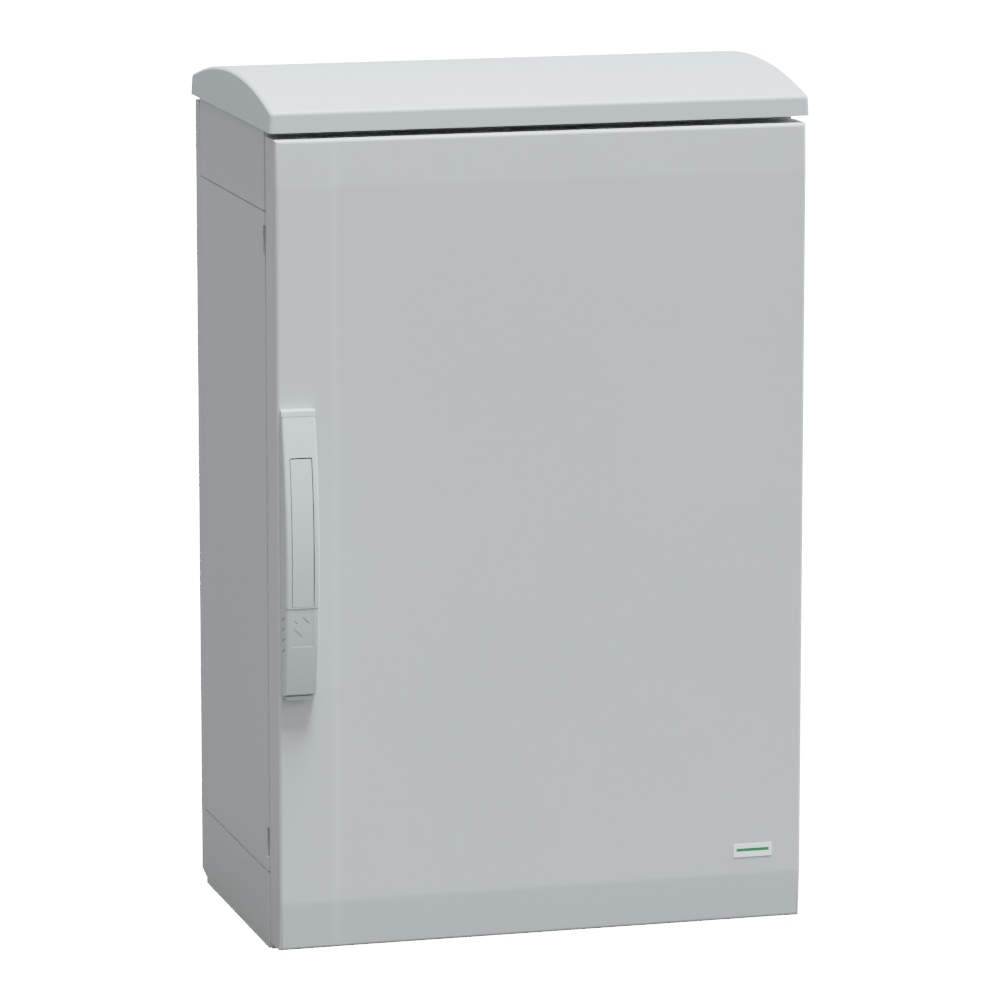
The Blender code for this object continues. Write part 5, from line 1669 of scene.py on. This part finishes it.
# ------------------------------------------------------------------ the fittings
@dataclass(frozen=True)
class Fitting:
    """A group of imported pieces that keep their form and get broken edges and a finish."""

    body: Body
    finish: Finish
    nodes: tuple[str, ...]
    edge: float = 0.0003

    def build(self) -> None:
        """Builds one softened piece for each node."""
        for node in self.nodes:
            shape = Shape.copy_of(node)
            shape.soften(self.edge, 2)
            shape.done(f"{node}_piece", self.finish, self.body, [node])


def numbered(stem: str, count: int = 4) -> tuple[str, ...]:
    """Node names that differ by their number."""
    return tuple(f"{stem}_{number}" for number in range(1, count + 1))


def paired(stem: str) -> tuple[str, ...]:
    """Node names of the lower and upper piece."""
    return (f"{stem}_lower", f"{stem}_upper")


FITTINGS = (
    Fitting(Body.CABINET, ZINC, ("mounting_plate",), 0.0004),
    Fitting(Body.CABINET, INSIDE_SKIN, ("gland_plate", *numbered("plate_standoff")), 0.0005),
    Fitting(Body.CABINET, SEAL, ("gland_gasket",), 0.0004),
    Fitting(Body.CABINET, ZINC, ("keeper_top", "keeper_middle", "keeper_bottom"), 0.0005),
    Fitting(
        Body.CABINET,
        ZINC,
        (*numbered("canopy_screw"), *numbered("plate_bolt"), *numbered("gland_screw")),
        0.0004,
    ),
    Fitting(Body.CABINET, ZINC, paired("hinge_bracket"), 0.0004),
    Fitting(Body.CABINET, PIN_STEEL, paired("hinge_pin"), 0.0003),
    Fitting(Body.DOOR, ZINC, (*paired("hinge_leaf"), *numbered("handle_screw", 2)), 0.0004),
    Fitting(
        Body.DOOR,
        NYLON,
        ("gear_case", *numbered("rod_guide_upper", 2), *numbered("rod_guide_lower", 2)),
        0.0004,
    ),
    Fitting(Body.SWIVEL, ZINC, ("spindle", "latch_cam", "spindle_nut"), 0.0003),
    Fitting(Body.SWIVEL, CASTING, ("pinion",), 0.00015),
    Fitting(Body.SWIVEL, PIN_STEEL, ("pivot_pin",), 0.0002),
    Fitting(Body.LOCK_INSERT, CASTING, ("lock_insert",), 0.0003),
    Fitting(Body.LOCK_BOLT, ZINC, ("lock_bolt",), 0.0003),
    Fitting(Body.ROD_UPPER, ZINC, ("rod_upper",), 0.0003),
    Fitting(Body.ROD_LOWER, ZINC, ("rod_lower",), 0.0003),
)


# ------------------------------------------------------------------ the studio
@dataclass(frozen=True)
class SoftSun:
    """One distant soft light, so that floor and cabinet are lit evenly."""

    name: str
    toward: tuple[float, float, float]
    strength: float
    spread: float
    colour: Colour

    def hang(self) -> None:
        """Hangs the light."""
        lamp = bpy.data.lights.new(self.name, "SUN")
        lamp.energy = self.strength
        lamp.angle = math.radians(self.spread)
        lamp.color = self.colour
        item = bpy.data.objects.new(self.name, lamp)
        item.location = self.toward
        item.rotation_euler = Vector(self.toward).to_track_quat("Z", "Y").to_euler()
        bpy.context.scene.collection.objects.link(item)


@dataclass(frozen=True)
class Paper(Finish):
    """The pale studio floor: bright to the camera, and dim in what it throws back at the cabinet."""

    glow: float = 34.0
    glow_share: float = 0.8
    thrown: float = 0.065

    def wire(self, board: Board, shader: bpy.types.Node, place: bpy.types.NodeSocket) -> None:
        """Wires a faint fibre tone into the colour, and the floor's two brightnesses.

        Args:
            board: The board to wire on.
            shader: The finish's main shader.
            place: Where each point lies in its piece.
        """
        inputs = {"Vector": place, "Colour": solid(self.colour), "Spread": 0.006}
        tone = self.use(board, Effects.tone(), inputs)
        board.feed(shader.inputs["Base Color"], tone.outputs["Colour"])
        shader.inputs["Roughness"].default_value = 0.9
        shader.inputs["Specular IOR Level"].default_value = 0.05
        glow = board.add("ShaderNodeEmission", {"Color": (1.0, 1.0, 1.0, 1.0), "Strength": self.glow})
        seen = self.mix(board, self.glow_share, shader, glow)
        dim = board.add("ShaderNodeBsdfDiffuse", {"Color": solid((self.thrown,) * 3)})
        both = self.mix(board, board.add("ShaderNodeLightPath").outputs["Is Camera Ray"], dim, seen)
        output = next(node for node in board.tree.nodes if node.type == "OUTPUT_MATERIAL")
        board.feed(output.inputs["Surface"], both.outputs[0])

    def mix(
        self, board: Board, share: object, first: bpy.types.Node, second: bpy.types.Node
    ) -> bpy.types.Node:
        """Mixes two shaders by the share of the second."""
        inputs = {0: share, 1: first.outputs[0], 2: second.outputs[0]}
        return board.add("ShaderNodeMixShader", inputs)


@dataclass
class Studio:
    """Pale floor, soft lights and the camera."""

    floor_size: float = 600.0
    azimuth: float = -15.47
    elevation: float = 10.40
    distance: float = 5.578
    lens: float = 220.36
    aim: tuple[float, float, float] = (-0.04165, -0.1514, 0.41806)
    ambient: float = 0.95

    def build(self) -> None:
        """Sets up everything around the cabinet."""
        self.floor()
        self.sky()
        for light in (
            SoftSun("top_light", (0.10, -0.187, 1.0), 14.0, 22.0, (0.86, 1.0, 1.03)),
            SoftSun("side_light", (1.0, -0.08, 0.3), 4.2, 30.0, (0.88, 1.0, 1.02)),
        ):
            light.hang()
        self.camera()

    def floor(self) -> None:
        """The pale floor."""
        half = self.floor_size / 2
        shape = bmesh.new()
        bmesh.ops.create_grid(shape, x_segments=1, y_segments=1, size=half)
        mesh = bpy.data.meshes.new("studio_floor")
        shape.to_mesh(mesh)
        shape.free()
        floor = bpy.data.objects.new("studio_floor", mesh)
        floor.location = (0, 0, -0.0005)
        mesh.materials.append(Paper("studio_paper", "", (0.9, 0.9, 0.9)).material())
        bpy.context.scene.collection.objects.link(floor)

    def sky(self) -> None:
        """Even light from all round."""
        world = bpy.data.worlds.new("studio")
        world.use_nodes = True
        background = world.node_tree.nodes["Background"]
        background.inputs["Color"].default_value = (1.0, 1.0, 1.0, 1.0)
        background.inputs["Strength"].default_value = self.ambient
        bpy.context.scene.world = world

    def camera(self) -> None:
        """The camera, looking from the left and a little above."""
        turn = math.radians(self.azimuth)
        tilt = math.radians(self.elevation)
        level = math.cos(tilt)
        away = Vector((math.sin(turn) * level, -math.cos(turn) * level, math.sin(tilt)))
        lens = bpy.data.cameras.new("camera")
        lens.lens = self.lens
        lens.sensor_width = 36.0
        lens.clip_end = 100.0
        item = bpy.data.objects.new("camera", lens)
        item.location = Vector(self.aim) + away * self.distance
        item.rotation_euler = away.to_track_quat("Z", "Y").to_euler()
        bpy.context.scene.collection.objects.link(item)
        bpy.context.scene.camera = item


def main() -> None:
    """Builds the cabinet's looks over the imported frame."""
    logging.basicConfig(level=logging.INFO, format="%(message)s")
    _FRAME.update(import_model())
    CabinetBody().build()
    RainCanopy().build()
    DoorLeaf().build()
    SwingHandle().build()
    for fitting in FITTINGS:
        fitting.build()
    Studio().build()
    log.info("the cabinet is complete")


if __name__ == "__main__":
    main()
